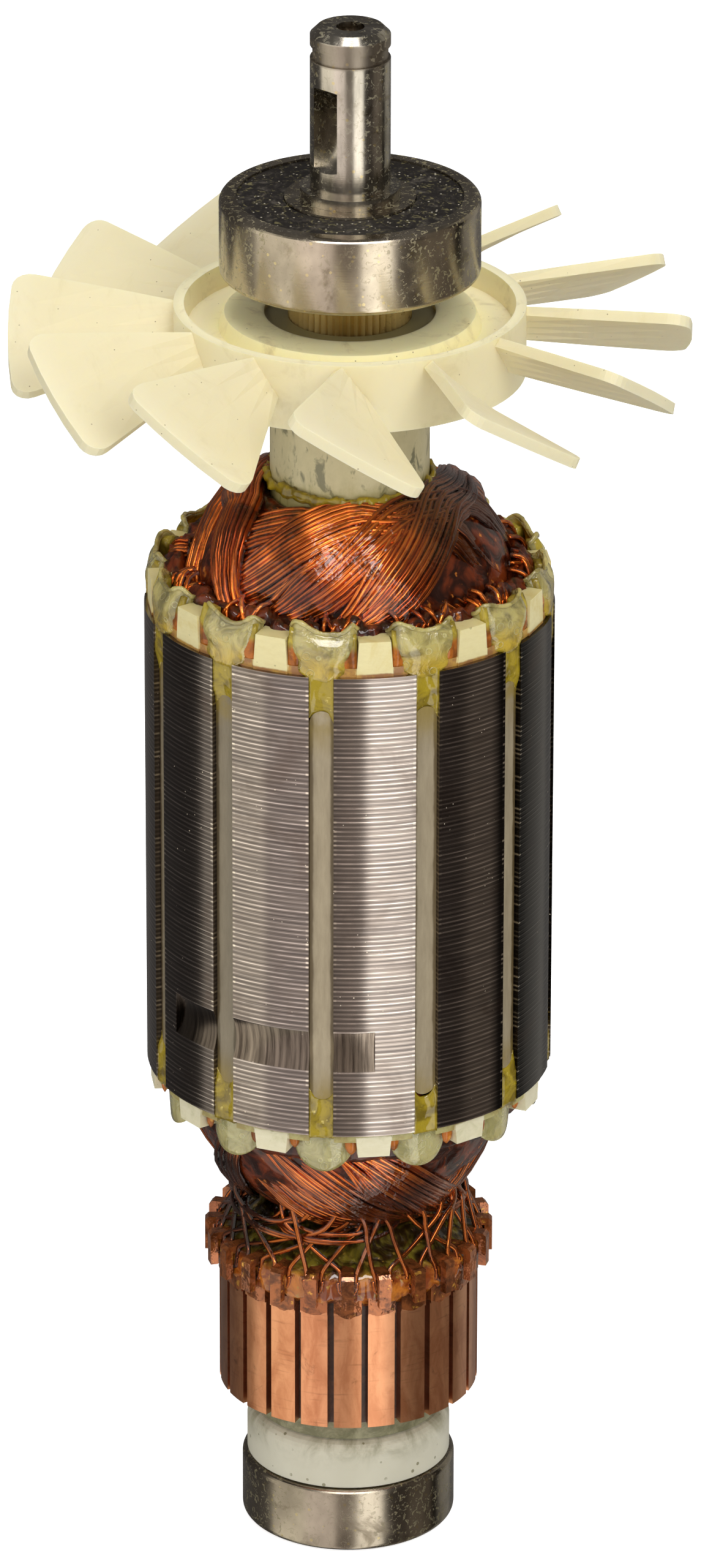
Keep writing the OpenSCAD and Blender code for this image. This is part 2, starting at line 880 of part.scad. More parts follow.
function coil_ring(stations, i) =
    let (
        n = len(stations),
        heading = unit(place(stations[(i + 1) % n]) - place(stations[(i + n - 1) % n])),
        w = width_dir(stations, i, heading),
        b = unit(cross(heading, w))
    )
    [for (j = [0:side_n - 1]) let (q = section_point(j))
        place(stations[i]) + w * q[0] * stations[i][3] + b * q[1] * coil_t / 2];

module coil(k) {
    stations = coil_stations(k);
    color(ENAMEL)
        skin([for (i = [0:len(stations) - 1]) coil_ring(stations, i)], closed = true);
}

// ------------------------------------------------------------- commutator

module bar_wedge(r) {
    far = 2 * r;
    a = bar_pitch / 2;
    shift = bar_gap / 2 / sin(a);
    polygon([[shift, 0], [shift + far * cos(a), -far * sin(a)], [shift + far * cos(a), far * sin(a)]]);
}

// Outline of a bar of outer radius r, with its neck and root, along +X
module bar_outline(r) {
    intersection() {
        difference() {
            circle(r = r);
            circle(r = neck_out_r);
        }
        bar_wedge(r);
    }
    translate([root_out_r, -neck_w / 2]) square([neck_out_r - root_out_r + 0.1, neck_w]);
    translate([root_in_r, -root_w / 2]) square([root_out_r - root_in_r, root_w]);
}

// Side view of a hook: over the bar's top and down outside it
module hook_outline() {
    inner = riser_r - 1.7;
    bevel = 0.35;
    polygon([
        [inner, z_comm_top - hook_t],
        [inner, z_comm_top],
        [hook_r - bevel, z_comm_top],
        [hook_r, z_comm_top - bevel],
        [hook_r, z_comm_top - hook_len],
        [hook_r - hook_t, z_comm_top - hook_len],
        [hook_r - hook_t, z_comm_top - hook_t]
    ]);
}

module at_bar(i) {
    rotate([0, 0, slot_angle + i * bar_pitch + bar_pitch / 2]) children();
}

module commutator_bar(i) {
    color(COPPER)
        at_bar(i) {
            translate([0, 0, z_bar])
                linear_extrude(height = track_len) bar_outline(track_r);
            translate([0, 0, z_riser])
                linear_extrude(height = riser_h) bar_outline(riser_r);
            translate([0, hook_w / 2, 0])
                rotate([90, 0, 0])
                    linear_extrude(height = hook_w) hook_outline();
        }
}

module commutator_hub() {
    color(MOULDING) {
        tube(foot_d / 2, seat_r + fit_gap, z_foot, foot_h);
        translate([0, 0, z_bar])
            linear_extrude(height = track_len + riser_h)
                difference() {
                    circle(r = gap_floor_r);
                    circle(r = seat_r + fit_gap);
                    for (i = [0:bars - 1]) at_bar(i) bar_outline(track_r);
                }
    }
}

// Path of the wire in hook angle a: down from the winding, behind the hook and
// up again, with its two arms at different radii so that crossing arms clear
function lead_path(a) =
    let (
        behind_r = (riser_r + hook_gap / 2) / cos(beside_hook),
        arm_r = behind_r - 0.1,
        low = z_comm_top - hook_t - lead_d / 2 - fit_gap,
        over = z_comm_top + lead_d,
        high = z_core - winding_h - lead_d
    )
    [
        polar(lead_top_r + arms_apart, a - lead_sweep, high),
        polar(arm_r + arms_apart, a - over_hook, over),
        polar(behind_r, a - beside_hook, low),
        polar(behind_r, a + beside_hook, low),
        polar(arm_r, a + over_hook, over),
        polar(lead_top_r, a + lead_sweep, high)
    ];

function wire_ring(path, i) =
    let (
        heading = unit(path[min(i + 1, len(path) - 1)] - path[max(i - 1, 0)]),
        across = unit(cross(heading, [path[i][0], path[i][1], 0])),
        out = cross(heading, across)
    )
    [for (j = [0:wire_n - 1]) let (t = 360 * j / wire_n)
        path[i] + lead_d / 2 * (across * cos(t) + out * sin(t))];

module commutator_leads() {
    color(ENAMEL)
        for (i = [0:bars - 1]) {
            path = lead_path(slot_angle + (i + 0.5) * bar_pitch);
            skin([for (j = [0:len(path) - 1]) wire_ring(path, j)]);
        }
}

// ------------------------------------------------------------------- boot

module insulating_boot() {
    r = boot_d / 2;
    bore_r = journal_d / 2 + fit_gap;
    color(BOOT_WHITE)
        rotate_extrude()
            polygon(concat(
                [
                    [bore_r, z_boot],
                    [land_r(COMM), z_boot],
                    [land_r(COMM), z_boot + boot_relief],
                    [r, z_boot + boot_relief]
                ],
                arc(r - boot_edge_r, z_foot - boot_edge_r, boot_edge_r, 0, 90),
                [[bore_r, z_foot]]
            ));
}

// --------------------------------------------------------------- assembly

shaft();
bearing_outer_ring(DRIVE);  // drive_bearing_outer_ring
bearing_inner_ring(DRIVE);  // drive_bearing_inner_ring
bearing_seal(DRIVE, true);  // drive_bearing_upper_seal
bearing_seal(DRIVE, false);  // drive_bearing_lower_seal
bearing_cage(DRIVE);  // drive_bearing_cage
bearing_balls(DRIVE);  // drive_bearing_balls
bearing_outer_ring(COMM);  // comm_bearing_outer_ring
bearing_inner_ring(COMM);  // comm_bearing_inner_ring
bearing_seal(COMM, true);  // comm_bearing_upper_seal
bearing_seal(COMM, false);  // comm_bearing_lower_seal
bearing_cage(COMM);  // comm_bearing_cage
bearing_balls(COMM);  // comm_bearing_balls
fan();
core_stack();
upper_end_insulator();
lower_end_insulator();
slot_liners();
slot_wedges();
upper_sleeve();
lower_sleeve();
for (k = [0:slots - 1])
    coil(k);
commutator_hub();
for (i = [0:bars - 1])
    commutator_bar(i);
commutator_leads();
insulating_boot();
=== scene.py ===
# Motor armature: looks, in metres, in the shared frame. +Z up the shaft, -Y front.
import math, random
import bpy
import numpy as np
from mathutils import Vector, Matrix, noise

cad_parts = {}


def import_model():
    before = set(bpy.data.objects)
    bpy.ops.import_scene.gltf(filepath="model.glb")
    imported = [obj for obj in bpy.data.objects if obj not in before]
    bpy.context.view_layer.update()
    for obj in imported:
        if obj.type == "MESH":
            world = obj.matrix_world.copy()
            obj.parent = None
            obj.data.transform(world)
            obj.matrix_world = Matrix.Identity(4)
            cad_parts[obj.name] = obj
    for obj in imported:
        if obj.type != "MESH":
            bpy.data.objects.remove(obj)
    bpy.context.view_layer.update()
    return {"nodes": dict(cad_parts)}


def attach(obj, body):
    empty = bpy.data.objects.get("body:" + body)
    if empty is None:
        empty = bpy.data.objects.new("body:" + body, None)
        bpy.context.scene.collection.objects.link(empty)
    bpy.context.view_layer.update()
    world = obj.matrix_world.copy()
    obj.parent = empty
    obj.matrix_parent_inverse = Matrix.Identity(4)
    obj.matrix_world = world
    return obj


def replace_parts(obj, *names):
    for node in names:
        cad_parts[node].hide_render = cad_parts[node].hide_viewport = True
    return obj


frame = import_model()
nodes = frame["nodes"]

# ------------ camera
cam_data = bpy.data.cameras.new("camera")
cam = bpy.data.objects.new("camera", cam_data)
bpy.context.scene.collection.objects.link(cam)
cam_data.sensor_fit = "VERTICAL"
cam_data.sensor_height = 36
cam_data.sensor_width = 36
cam_data.lens = 236.377
cam_data.shift_x = 0.00078
cam_data.clip_end = 50
tilt = Matrix.Rotation(math.radians(66.337), 4, "X")
roll = Matrix.Rotation(math.radians(0.087), 4, "Z")
cam.matrix_world = Matrix.Translation((0, -0.95439, 0.50011)) @ tilt @ roll
bpy.context.scene.camera = cam
bpy.context.scene.view_settings.view_transform = "Standard"

# ------------ sizes of the part
# Millimetres and degrees. The materials work in metres.
MM = 0.001
SLOTS = 12
BARS = 24
PITCH = 360 / SLOTS
SLOT_ANGLE = 262.2  # the first slot's middle, from +X
SLOT_AZIMUTH = -7.8  # the same line, from the front
CORE_R = 20.65
Z_CORE = 52.2
Z_CORE_TOP = 102.2
Z_COMM_TOP = 33.4
SLEEVE_R = 8.2


# ------------ shader helpers
def rgb(h):
    """Linear colour from a hex sRGB value."""
    c = [int(h[i : i + 2], 16) / 255 for i in (0, 2, 4)]
    return tuple(x / 12.92 if x <= 0.04045 else ((x + 0.055) / 1.055) ** 2.4 for x in c)


class Graph:
    """A node tree, with short calls that make and link its nodes."""

    def __init__(self, tree, coordinates):
        self.t = tree
        self.t.nodes.clear()
        self.at = self.node("TexCoord").outputs[coordinates]
        self._xyz = None

    def put(self, socket, value):
        if isinstance(value, bpy.types.NodeSocket):
            self.t.links.new(value, socket)
        elif isinstance(value, (tuple, list)) and len(value) == 3 and socket.type == "RGBA":
            socket.default_value = (*value, 1)
        else:
            socket.default_value = value

    def node(self, kind, op=None, **inputs):
        """Inputs go by name, or by number after an underscore."""
        n = self.t.nodes.new("ShaderNode" + kind)
        if op:
            n.operation = op
        for k, v in inputs.items():
            self.put(n.inputs[int(k[1:]) if k[0] == "_" else k], v)
        return n

    def math(self, op, a, b=0.0):
        return self.node("Math", op, _0=a, _1=b).outputs[0]

    def add(self, a, b):
        return self.math("ADD", a, b)

    def sub(self, a, b):
        return self.math("SUBTRACT", a, b)

    def mul(self, a, b):
        return self.math("MULTIPLY", a, b)

    def div(self, a, b):
        return self.math("DIVIDE", a, b)

    def max(self, a, b):
        return self.math("MAXIMUM", a, b)

    def abs(self, a):
        return self.math("ABSOLUTE", a)

    def above(self, a, b):
        return self.math("GREATER_THAN", a, b)

    def below(self, a, b):
        return self.math("LESS_THAN", a, b)

    def invert(self, a):
        return self.sub(1.0, a)

    def step(self, value, lo, hi):
        """0 below lo, 1 above hi, smooth between."""
        n = self.node("MapRange", Value=value)
        n.interpolation_type = "SMOOTHSTEP"
        n.inputs["From Min"].default_value = lo
        n.inputs["From Max"].default_value = hi
        return n.outputs[0]

    def fall(self, value, lo, hi):
        return self.invert(self.step(value, lo, hi))

    def band(self, value, lo, hi, soft):
        """1 from lo to hi, with soft edges."""
        return self.mul(self.step(value, lo - soft, lo + soft), self.fall(value, hi - soft, hi + soft))

    def xyz(self):
        if self._xyz is None:
            self._xyz = self.node("SeparateXYZ", _0=self.at).outputs
        return self._xyz

    def angle(self):
        x, y, _ = self.xyz()
        return self.math("ARCTAN2", x, self.mul(y, -1.0))

    def azimuth(self):
        """Degrees round the shaft: 0 at the front, + towards +X."""
        return self.mul(self.angle(), 180 / math.pi)

    def blend(self, fac, a, b):
        return self.node("MixShader", _0=fac, _1=a, _2=b).outputs[0]


class Nodes(Graph):
    """A material's node tree."""

    def __init__(self, name):
        self.mat = bpy.data.materials.new(name)
        self.mat.use_nodes = True
        super().__init__(self.mat.node_tree, "Object")
        self.out = self.node("OutputMaterial")
        self.bsdf = self.node("BsdfPrincipled")
        self.put(self.out.inputs[0], self.bsdf.outputs[0])

    def set(self, **values):
        for k, v in values.items():
            self.put(self.bsdf.inputs[k.replace("_", " ")], v)
        return self.mat

    def radius(self):
        x, y, _ = self.xyz()
        return self.math("SQRT", self.add(self.mul(x, x), self.mul(y, y)))

    def off_line(self, middle):
        """Degrees from the nearest of 12 lines, one of which has this azimuth."""
        turns = self.div(self.add(self.azimuth(), 375.0 - middle), PITCH)
        return self.abs(self.mul(self.sub(self.math("FRACT", turns), 0.5), PITCH))

    def light_and_shade_by_side(self, stops):
        """Painted light and shade, a factor that changes from the left flank, 0, by the front, 0.5, to the
        right, 1.
        """
        n = self.node("ValToRGB", Fac=self.div(self.add(self.azimuth(), 90.0), 180.0))
        r = n.color_ramp
        r.interpolation = "LINEAR"
        while len(r.elements) < len(stops):
            r.elements.new(0.5)
        for e, (place, grey) in zip(r.elements, stops):
            e.position = place
            e.color = (grey, grey, grey, 1)
        return n.outputs[0]

    def combine(self, x, y, z=0.0):
        return self.node("CombineXYZ", _0=x, _1=y, _2=z).outputs[0]

    def scaled(self, *scale):
        n = self.node("Mapping", Vector=self.at)
        n.inputs["Scale"].default_value = scale
        return n.outputs[0]

    def noise(self, scale, detail=3.0, rough=0.55, distort=0.0, vector=None):
        place = self.at if vector is None else vector
        look = dict(Scale=scale, Detail=detail, Roughness=rough, Distortion=distort)
        return self.node("TexNoise", Vector=place, **look).outputs[0]

    def grain(self, scale, *look):
        """Noise with its own scale round the shaft, outwards and up."""
        sa, sr, sz = scale
        up = self.mul(self.xyz()[2], sz)
        place = self.combine(self.mul(self.angle(), sa), self.mul(self.radius(), sr), up)
        return self.noise(1.0, *look, vector=place)

    def wobble(self, scale, reach, *look):
        """Noise about 0."""
        return self.mul(self.sub(self.noise(scale, *look), 0.5), reach)

    def cells(self, scale):
        return self.node("TexVoronoi", Scale=scale, Vector=self.at).outputs["Distance"]

    def specks(self, scale, size):
        """1 on scattered small spots."""
        return self.below(self.cells(scale), size)

    def mix(self, fac, a, b, kind="MIX"):
        n = self.t.nodes.new("ShaderNodeMix")
        n.data_type = "RGBA"
        n.blend_type = kind
        for i, v in ((0, fac), (6, a), (7, b)):
            self.put(n.inputs[i], v)
        return n.outputs[2]

    def tint(self, fac, a, b):
        """Between two hex colours."""
        return self.mix(fac, rgb(a), rgb(b))

    def paint(self, col, h, mask, amount=None):
        """A hex colour laid over another where the mask is 1."""
        return self.mix(mask if amount is None else self.mul(mask, amount), col, rgb(h))

    def shade(self, col, tone):
        return self.mix(1.0, col, tone, "MULTIPLY")

    def bump(self, height, strength, distance, normal=None):
        n = self.node("Bump", Height=height)
        n.inputs["Strength"].default_value = strength
        n.inputs["Distance"].default_value = distance
        if normal is not None:
            self.put(n.inputs["Normal"], normal)
        return n.outputs[0]


# ------------ materials
def steel(name, dark, light, rough, stain, stained, speck=0.0, debris_and_flank_shade=0.0, low_dark=0.0, shaft_end=False):
    m = Nodes(name)
    broad = m.grain((1.6, 60, 90), 4, 0.6)
    turned = m.grain((0.3, 10, 5200), 2, 0.5)
    fine = m.noise(2600, 2, 0.5)
    col = m.tint(m.step(broad, 0.35, 0.7), dark, light)
    patch = m.step(m.noise(260, 5, 0.65, 0.6), 0.52, 0.72)
    col = m.paint(col, stain, patch, stained)
    if speck:
        dots = m.specks(900, speck)
        col = m.paint(col, "c9b98a", dots, 0.7)
    # Fine debris that clings to the flanks, thinner in front
    cling = m.max(m.fall(m.azimuth(), -52.0, -30.0), m.step(m.azimuth(), 12.0, 34.0))
    cling = m.add(0.25, m.mul(cling, 0.75))
    chips = m.step(m.noise(1700, 3, 0.6, 1.2), 0.57, 0.62)
    chips = m.mul(m.mul(chips, cling), debris_and_flank_shade)
    col = m.paint(col, "8b8257", chips)
    metal = m.invert(m.mul(chips, 0.85))
    r = m.add(m.mul(broad, 0.16), rough - 0.08)
    r = m.add(r, m.mul(chips, 0.35))
    r = m.add(r, m.mul(patch, 0.14))
    # Painted shade: both flanks darker by azimuth, as strong as the debris setting
    shaded = m.max(m.step(m.azimuth(), 26.0, 46.0), m.fall(m.azimuth(), -62.0, -44.0))
    col = m.paint(col, "4a4232", m.mul(shaded, debris_and_flank_shade), 0.35)
    h = m.add(m.mul(turned, 0.6), m.mul(fine, 0.3))
    if shaft_end:
        z = m.xyz()[2]
        # A worn band under the chamfer, and the centre hole
        worn = m.mul(m.step(z, 0.1596, 0.1600), m.fall(z, 0.1621, 0.1624))
        col = m.paint(col, "6f6253", worn, 0.55)
        r = m.add(r, m.mul(worn, 0.2))
        hole = m.mul(m.below(m.radius(), 0.00135), m.above(z, 0.155))
        col = m.mix(hole, col, m.tint(m.noise(1500, 4, 0.7), "8a6a2c", "e0bc78"))
        metal = m.mul(metal, m.invert(hole))
        r = m.add(r, m.mul(hole, 0.4))
        # Brass on the spline's tips, and olive dirt on the right
        olive = m.step(m.noise(620, 5, 0.7, 0.8), 0.56, 0.66)
        side = m.step(m.azimuth(), 14.0, 24.0)
        brass = m.mul(m.above(z, 0.131), m.below(z, 0.1376))
        col = m.paint(col, "c8ae68", brass, 0.8)
        r = m.add(r, m.mul(brass, 0.3))
        col = m.paint(col, "4a3d16", m.mul(olive, side), 0.6)
    if low_dark:
        shade = m.invert(m.mul(m.below(m.xyz()[2], 0.01), low_dark))
        col = m.shade(col, shade)
    return m.set(Base_Color=col, Metallic=metal, Roughness=r, Normal=m.bump(h, 0.16, 0.00003))


def seal_rubber():
    m = Nodes("seal_rubber")
    dust = m.step(m.noise(900, 5, 0.7), 0.5, 0.75)
    ring = m.grain((2, 2400, 100), 2, 0.5)
    col = m.tint(m.mul(dust, 0.5), "151210", "6a6358")
    chips = m.step(m.noise(1500, 3, 0.6, 1.2), 0.59, 0.63)
    col = m.paint(col, "8b8257", chips, 0.4)
    col = m.paint(col, "b0a894", m.specks(1300, 0.13))
    h = m.add(ring, m.noise(3000, 3, 0.6))
    return m.set(Base_Color=col, Roughness=0.62, Specular_IOR_Level=0.35, Normal=m.bump(h, 0.25, 0.00006))


def cage_nylon():
    m = Nodes("cage_nylon")
    col = m.tint(m.noise(120, 3, 0.5), "d8cfae", "cabf9c")
    col = m.paint(col, "8a7c58", m.step(m.noise(420, 6, 0.72, 0.4), 0.56, 0.78), 0.4)
    return m.set(
        Base_Color=col, Roughness=0.4, Normal=m.bump(m.noise(1800, 4, 0.6), 0.1, 0.00006),
        Subsurface_Weight=0.2, Subsurface_Scale=0.0016, Subsurface_Radius=(1.0, 0.75, 0.35),
    )


def fan_plastic():
    m = Nodes("fan_plastic")
    r = m.radius()
    col = m.tint(m.noise(90, 3, 0.5), "dfd6b4", "dacfa6")
    col = m.paint(col, "e4ddc2", m.step(r, 0.030, 0.0345), 0.35)
    # Painted light: the hub paler than the blades of the same moulding
    hub = m.fall(r, 0.0165, 0.0182)
    col = m.paint(col, "f3e9c0", hub)
    # Painted shade: dark olive in the bore's recess, under the bearing
    bore_shade = m.fall(m.add(r, m.mul(m.noise(260, 3), 0.0012)), 0.0086, 0.0096)
    # Painted light: the ring under the bearing paler still, where the bearing's shadow falls
    under = m.fall(r, 0.0130, 0.0150)
    col = m.paint(col, "fff3be", under)
    col = m.paint(col, "6c6030", bore_shade, 0.85)
    smear = m.step(m.grain((4, 300, 160), 5, 0.7, 0.5), 0.52, 0.8)
    col = m.paint(col, "b8a468", smear, 0.22)
    col = m.paint(col, "8f7c48", m.mul(smear, hub), 0.35)
    col = m.paint(col, "6b5a34", m.specks(700, 0.05), 0.7)
    n = m.bump(m.noise(1500, 4, 0.6), 0.12, 0.00005)
    return m.set(
        Base_Color=col, Roughness=0.42, Normal=n, Specular_IOR_Level=0.4,
        Subsurface_Weight=0.35, Subsurface_Scale=0.0018, Subsurface_Radius=(1.0, 0.8, 0.35),
    )


def lamination_steel():
    m = Nodes("lamination_steel")
    z = m.xyz()[2]
    az = m.azimuth()
    # Sheets of half a millimetre: a pale, broken line along each edge, a painted highlight on the sheets'
    # rounded edges that also gives their bump
    sheet = m.mul(z, 2000.0)
    place = m.abs(m.sub(m.math("FRACT", sheet), 0.5))
    line = m.fall(place, 0.0, 0.22)
    own = m.combine(m.mul(az, 0.055), m.mul(m.math("FLOOR", sheet), 0.73))
    each = m.noise(1.0, 3, 0.6, vector=own)
    broken = m.mul(line, m.add(0.25, m.mul(m.step(each, 0.42, 0.66), 0.6)))
    hair = m.grain((2.5, 1, 9000), 2, 0.5)
    # The milled balancing cut: brushed along the shaft, without the sheets' lines
    cut = m.mul(m.band(z, 0.0592, 0.0638, 0.00006), m.band(az, -57.8, 7.3, 0.2))
    cut = m.mul(cut, m.below(m.radius(), 0.0206))
    cut = m.mul(cut, m.above(m.radius(), 0.0198))
    uncut = m.invert(cut)
    broken = m.mul(broken, uncut)
    col = m.tint(m.step(hair, 0.3, 0.7), "6f6864", "948a82")
    # Painted highlight along the sheets' edges
    col = m.paint(col, "f6e9e0", broken)
    brush = m.grain((34, 1, 60), 5, 0.75)
    col = m.mix(cut, col, m.tint(m.step(brush, 0.3, 0.7), "3d352f", "93877a"))
    # Painted light and shade: each side of the core lighter or darker by azimuth, as the light falls on it
    tone = m.light_and_shade_by_side([
        (0.0, 0.8), (0.12, 0.5), (0.267, 0.5), (0.275, 0.92), (0.361, 0.95), (0.373, 0.62), (0.45, 0.66),
        (0.5, 1.3), (0.56, 1.0), (0.66, 0.9), (0.74, 0.75), (0.76, 0.06), (0.88, 0.06), (0.97, 0.3),
    ])
    col = m.shade(col, tone)
    # Burrs along the slots' edges, as a brighter painted highlight on the sheets' edge lines there
    burr = m.mul(m.band(m.off_line(SLOT_AZIMUTH), 3.5, 4.3, 0.15), m.fall(place, 0.1, 0.3))
    burr = m.mul(m.mul(burr, m.step(each, 0.45, 0.62)), uncut)
    col = m.paint(col, "fff4e0", burr, 0.6)
    dark = m.mul(m.mul(m.fall(m.sub(0.5, place), 0.0, 0.10), 0.6), uncut)
    col = m.paint(col, "2a2422", dark)
    col = m.paint(col, "4a3a30", m.step(m.noise(130, 4, 0.6, 0.5), 0.5, 0.72), 0.35)
    dust = m.mul(m.specks(1300, 0.085), m.step(m.noise(200, 2), 0.53, 0.62))
    col = m.paint(col, "f4ead8", dust, 0.8)
    h = m.add(broken, m.mul(hair, 0.35))
    rough = m.add(0.17, m.mul(dust, 0.4))
    return m.set(Base_Color=col, Metallic=1.0, Roughness=rough, Normal=m.bump(h, 0.30, 0.00005))


def fibre(name, pale, stain, rough, soaked, edge):
    """Fibre board of the end plates, soaked with varnish along the blocks' sides and the core's edge."""
    m = Nodes(name)
    weave = m.noise(1.0, 4, 0.65, vector=m.scaled(900, 900, 2400))
    col = m.tint(weave, *pale)
    st = m.step(m.noise(330, 5, 0.7, 0.6), 0.48, 0.74)
    col = m.paint(col, stain, st, 0.5)
    off = m.add(m.off_line(SLOT_AZIMUTH + PITCH / 2), m.wobble(500, 1.6, 3))
    wet = m.step(off, 5.1, 5.7)
    line = m.abs(m.sub(m.xyz()[2], edge))
    line = m.add(line, m.wobble(600, 0.0004, 3))
    wet = m.max(wet, m.fall(line, 0.0002, 0.0004))
    soak = m.tint(m.step(m.noise(480, 4, 0.7), 0.4, 0.62), *soaked)
    col = m.mix(m.mul(wet, 0.9), col, soak)
    col = m.paint(col, "7d7648", m.below(m.noise(1300, 2, 0.5), 0.27), 0.5)
    return m.set(
        Base_Color=col, Roughness=rough, Coat_Weight=0.25, Coat_Roughness=0.2,
        Normal=m.bump(weave, 0.3, 0.00008),
        Subsurface_Weight=0.15, Subsurface_Scale=0.0012, Subsurface_Radius=(1.0, 0.8, 0.4),
    )


def sleeve_fibre():
    m = Nodes("sleeve_fibre")
    weave = m.noise(1.0, 5, 0.7, vector=m.scaled(700, 700, 500))
    col = m.tint(weave, "b0a67c", "d3c79c")
    blot = m.step(m.noise(1.0, 4, 0.65, 0.8, vector=m.scaled(700, 700, 300)), 0.52, 0.66)
    col = m.paint(col, "55563c", blot, 0.75)
    wet = m.fall(m.add(m.xyz()[2], m.mul(weave, 0.003)), 0.1165, 0.1195)
    col = m.paint(col, "84781e", wet, 0.6)
    return m.set(
        Base_Color=col, Roughness=0.45, Coat_Weight=0.3, Coat_Roughness=0.2,
        Normal=m.bump(weave, 0.4, 0.0001),
    )


def film(name, low, high, z_from, z_to):
    """Varnish-soaked film: two hex colours low down, two others from z_to up."""
    m = Nodes(name)
    t = m.step(m.add(m.xyz()[2], m.wobble(420, 0.003, 3, 0.6)), z_from, z_to)
    cloud = m.noise(430, 4, 0.6, 0.8)
    col = m.mix(t, m.tint(m.step(cloud, 0.35, 0.66), *low), m.tint(m.step(cloud, 0.38, 0.66), *high))
    rim = m.fall(m.abs(m.sub(m.cells(620), 0.26)), 0.0, 0.05)
    col = m.paint(col, "e6dda0", rim, 0.35)
    h = m.add(cloud, m.mul(rim, 0.15))
    return m.set(
        Base_Color=col, Roughness=0.14, Coat_Weight=1.0, Coat_Roughness=0.04, Specular_IOR_Level=0.5,
        Subsurface_Weight=0.4, Subsurface_Scale=0.0015, Subsurface_Radius=(1.0, 0.7, 0.15),
        Normal=m.bump(h, 0.8, 0.0006),
    )


def wedge_fibre():
    m = Nodes("wedge_fibre")
    z = m.xyz()[2]
    fibres = m.noise(1.0, 5, 0.7, vector=m.scaled(1500, 1500, 260))
    col = m.tint(fibres, "7c6e54", "b7a88a")
    off = m.add(m.off_line(SLOT_AZIMUTH), m.mul(m.grain((1, 1, 260), 3, 0.6), 1.4))
    col = m.paint(col, "4f3d16", m.step(off, 2.9, 3.6), 0.85)
    # Painted shade: the wedges darker by azimuth, most on the left where the slots lie in shade
    col = m.shade(col, m.light_and_shade_by_side([(0.0, 0.6), (0.31, 0.55), (0.42, 1.0), (0.6, 0.92), (1.0, 0.8)]))
    wet = m.max(m.step(z, 0.0925, 0.0985), m.fall(z, 0.0555, 0.0600))
    wet = m.mul(wet, m.step(m.noise(300, 4), 0.3, 0.6))
    col = m.paint(col, "86701c", wet, 0.8)
    return m.set(
        Base_Color=col, Roughness=0.5, Coat_Weight=0.3, Coat_Roughness=0.15,
        Normal=m.bump(fibres, 0.4, 0.0001),
    )


def enamelled_wire():
    m = Nodes("enamelled_wire")
    x, y, z = m.xyz()
    cloud = m.noise(120, 3, 0.5, 0.4)
    tone = m.node("Attribute")
    tone.attribute_name = "tone"
    col = m.tint(tone.outputs["Fac"], "b04c14", "f58a3a")
    col = m.paint(col, "702a10", m.step(cloud, 0.44, 0.62), 0.7)
    # Painted shade: darker towards the sleeve, on one flank, low down and in a hollow low on the left; the
    # wet patches are real darker varnish
    high = m.step(m.add(z, m.mul(cloud, 0.006)), 0.1125, 0.1180)
    flank = m.abs(m.sub(m.azimuth(), 68.0))
    flank = m.fall(m.add(flank, m.mul(cloud, 24.0)), 34.0, 62.0)
    flank = m.mul(flank, m.step(z, 0.1065, 0.1100))
    under = m.fall(z, 0.0400, 0.0480)
    hollow_shade = m.abs(m.add(m.azimuth(), 60.0))
    hollow_shade = m.fall(m.add(hollow_shade, m.mul(cloud, 18.0)), 22.0, 38.0)
    hollow_shade = m.mul(hollow_shade, m.fall(z, 0.0440, 0.0490))
    under = m.max(under, m.mul(hollow_shade, 1.45))
    dark = m.max(m.mul(high, 0.15), m.max(m.mul(flank, 0.8), m.mul(under, 0.6)))
    wet = m.mul(m.step(m.noise(190, 4, 0.6, 0.8), 0.5, 0.66), 0.55)
    col = m.paint(col, "26100a", m.max(dark, wet))
    rough = m.add(0.10, m.mul(cloud, 0.14))
    # The varnish lies over the wires as a film, with its own broad gloss
    up = m.mul(m.step(z, 0.1045, 0.1150), 1.1)
    down = m.mul(m.fall(z, 0.0385, 0.0490), 1.15)
    outward = m.combine(m.div(x, m.radius()), m.div(y, m.radius()), m.sub(up, m.mul(down, 0.5)))
    outward = m.node("VectorMath", "NORMALIZE", _0=outward).outputs[0]
    return m.set(
        Base_Color=col, Metallic=0.9, Roughness=rough, Specular_IOR_Level=0.5,
        Normal=m.bump(m.noise(420, 2, 0.5), 0.15, 0.00006),
        Coat_Weight=0.5, Coat_Roughness=0.05, Coat_IOR=1.6,
        Coat_Normal=m.bump(m.noise(360, 3, 0.6, 0.8), 0.8, 0.00032, outward),
    )


def varnish(name, dark, mid, fleck, coat, gold_from=None):
    m = Nodes(name)
    cloud = m.noise(430, 3, 0.55, 0.9)
    col = m.tint(m.step(cloud, 0.4, 0.66), dark, mid)
    col = m.paint(col, fleck, m.step(m.noise(850, 3, 0.6), 0.63, 0.72), 0.8)
    if gold_from:
        gold = m.step(m.add(m.xyz()[2], m.mul(cloud, 0.001)), gold_from, gold_from + 0.0008)
        col = m.mix(gold, col, m.tint(m.step(cloud, 0.4, 0.66), "b5a03c", "7d6a22"))
    h = m.add(cloud, m.mul(m.cells(900), 0.2))
    return m.set(
        Base_Color=col, Roughness=0.35, Coat_Weight=coat, Coat_Roughness=0.03, Specular_IOR_Level=0.1,
        Normal=m.bump(h, 0.8, 0.0007),
    )


def commutator_moulding():
    m = Nodes("commutator_moulding")
    foot = m.below(m.xyz()[2], 0.01565)
    cloud = m.step(m.noise(480, 5, 0.7, 0.6), 0.35, 0.7)
    col = m.mix(foot, m.tint(cloud, "2f1f16", "54392a"), m.tint(cloud, "6c6a4a", "9a9674"))
    return m.set(
        Base_Color=col, Roughness=0.5, Coat_Weight=0.15, Coat_Roughness=0.15,
        Normal=m.bump(m.noise(900, 4, 0.6), 0.5, 0.0001),
    )


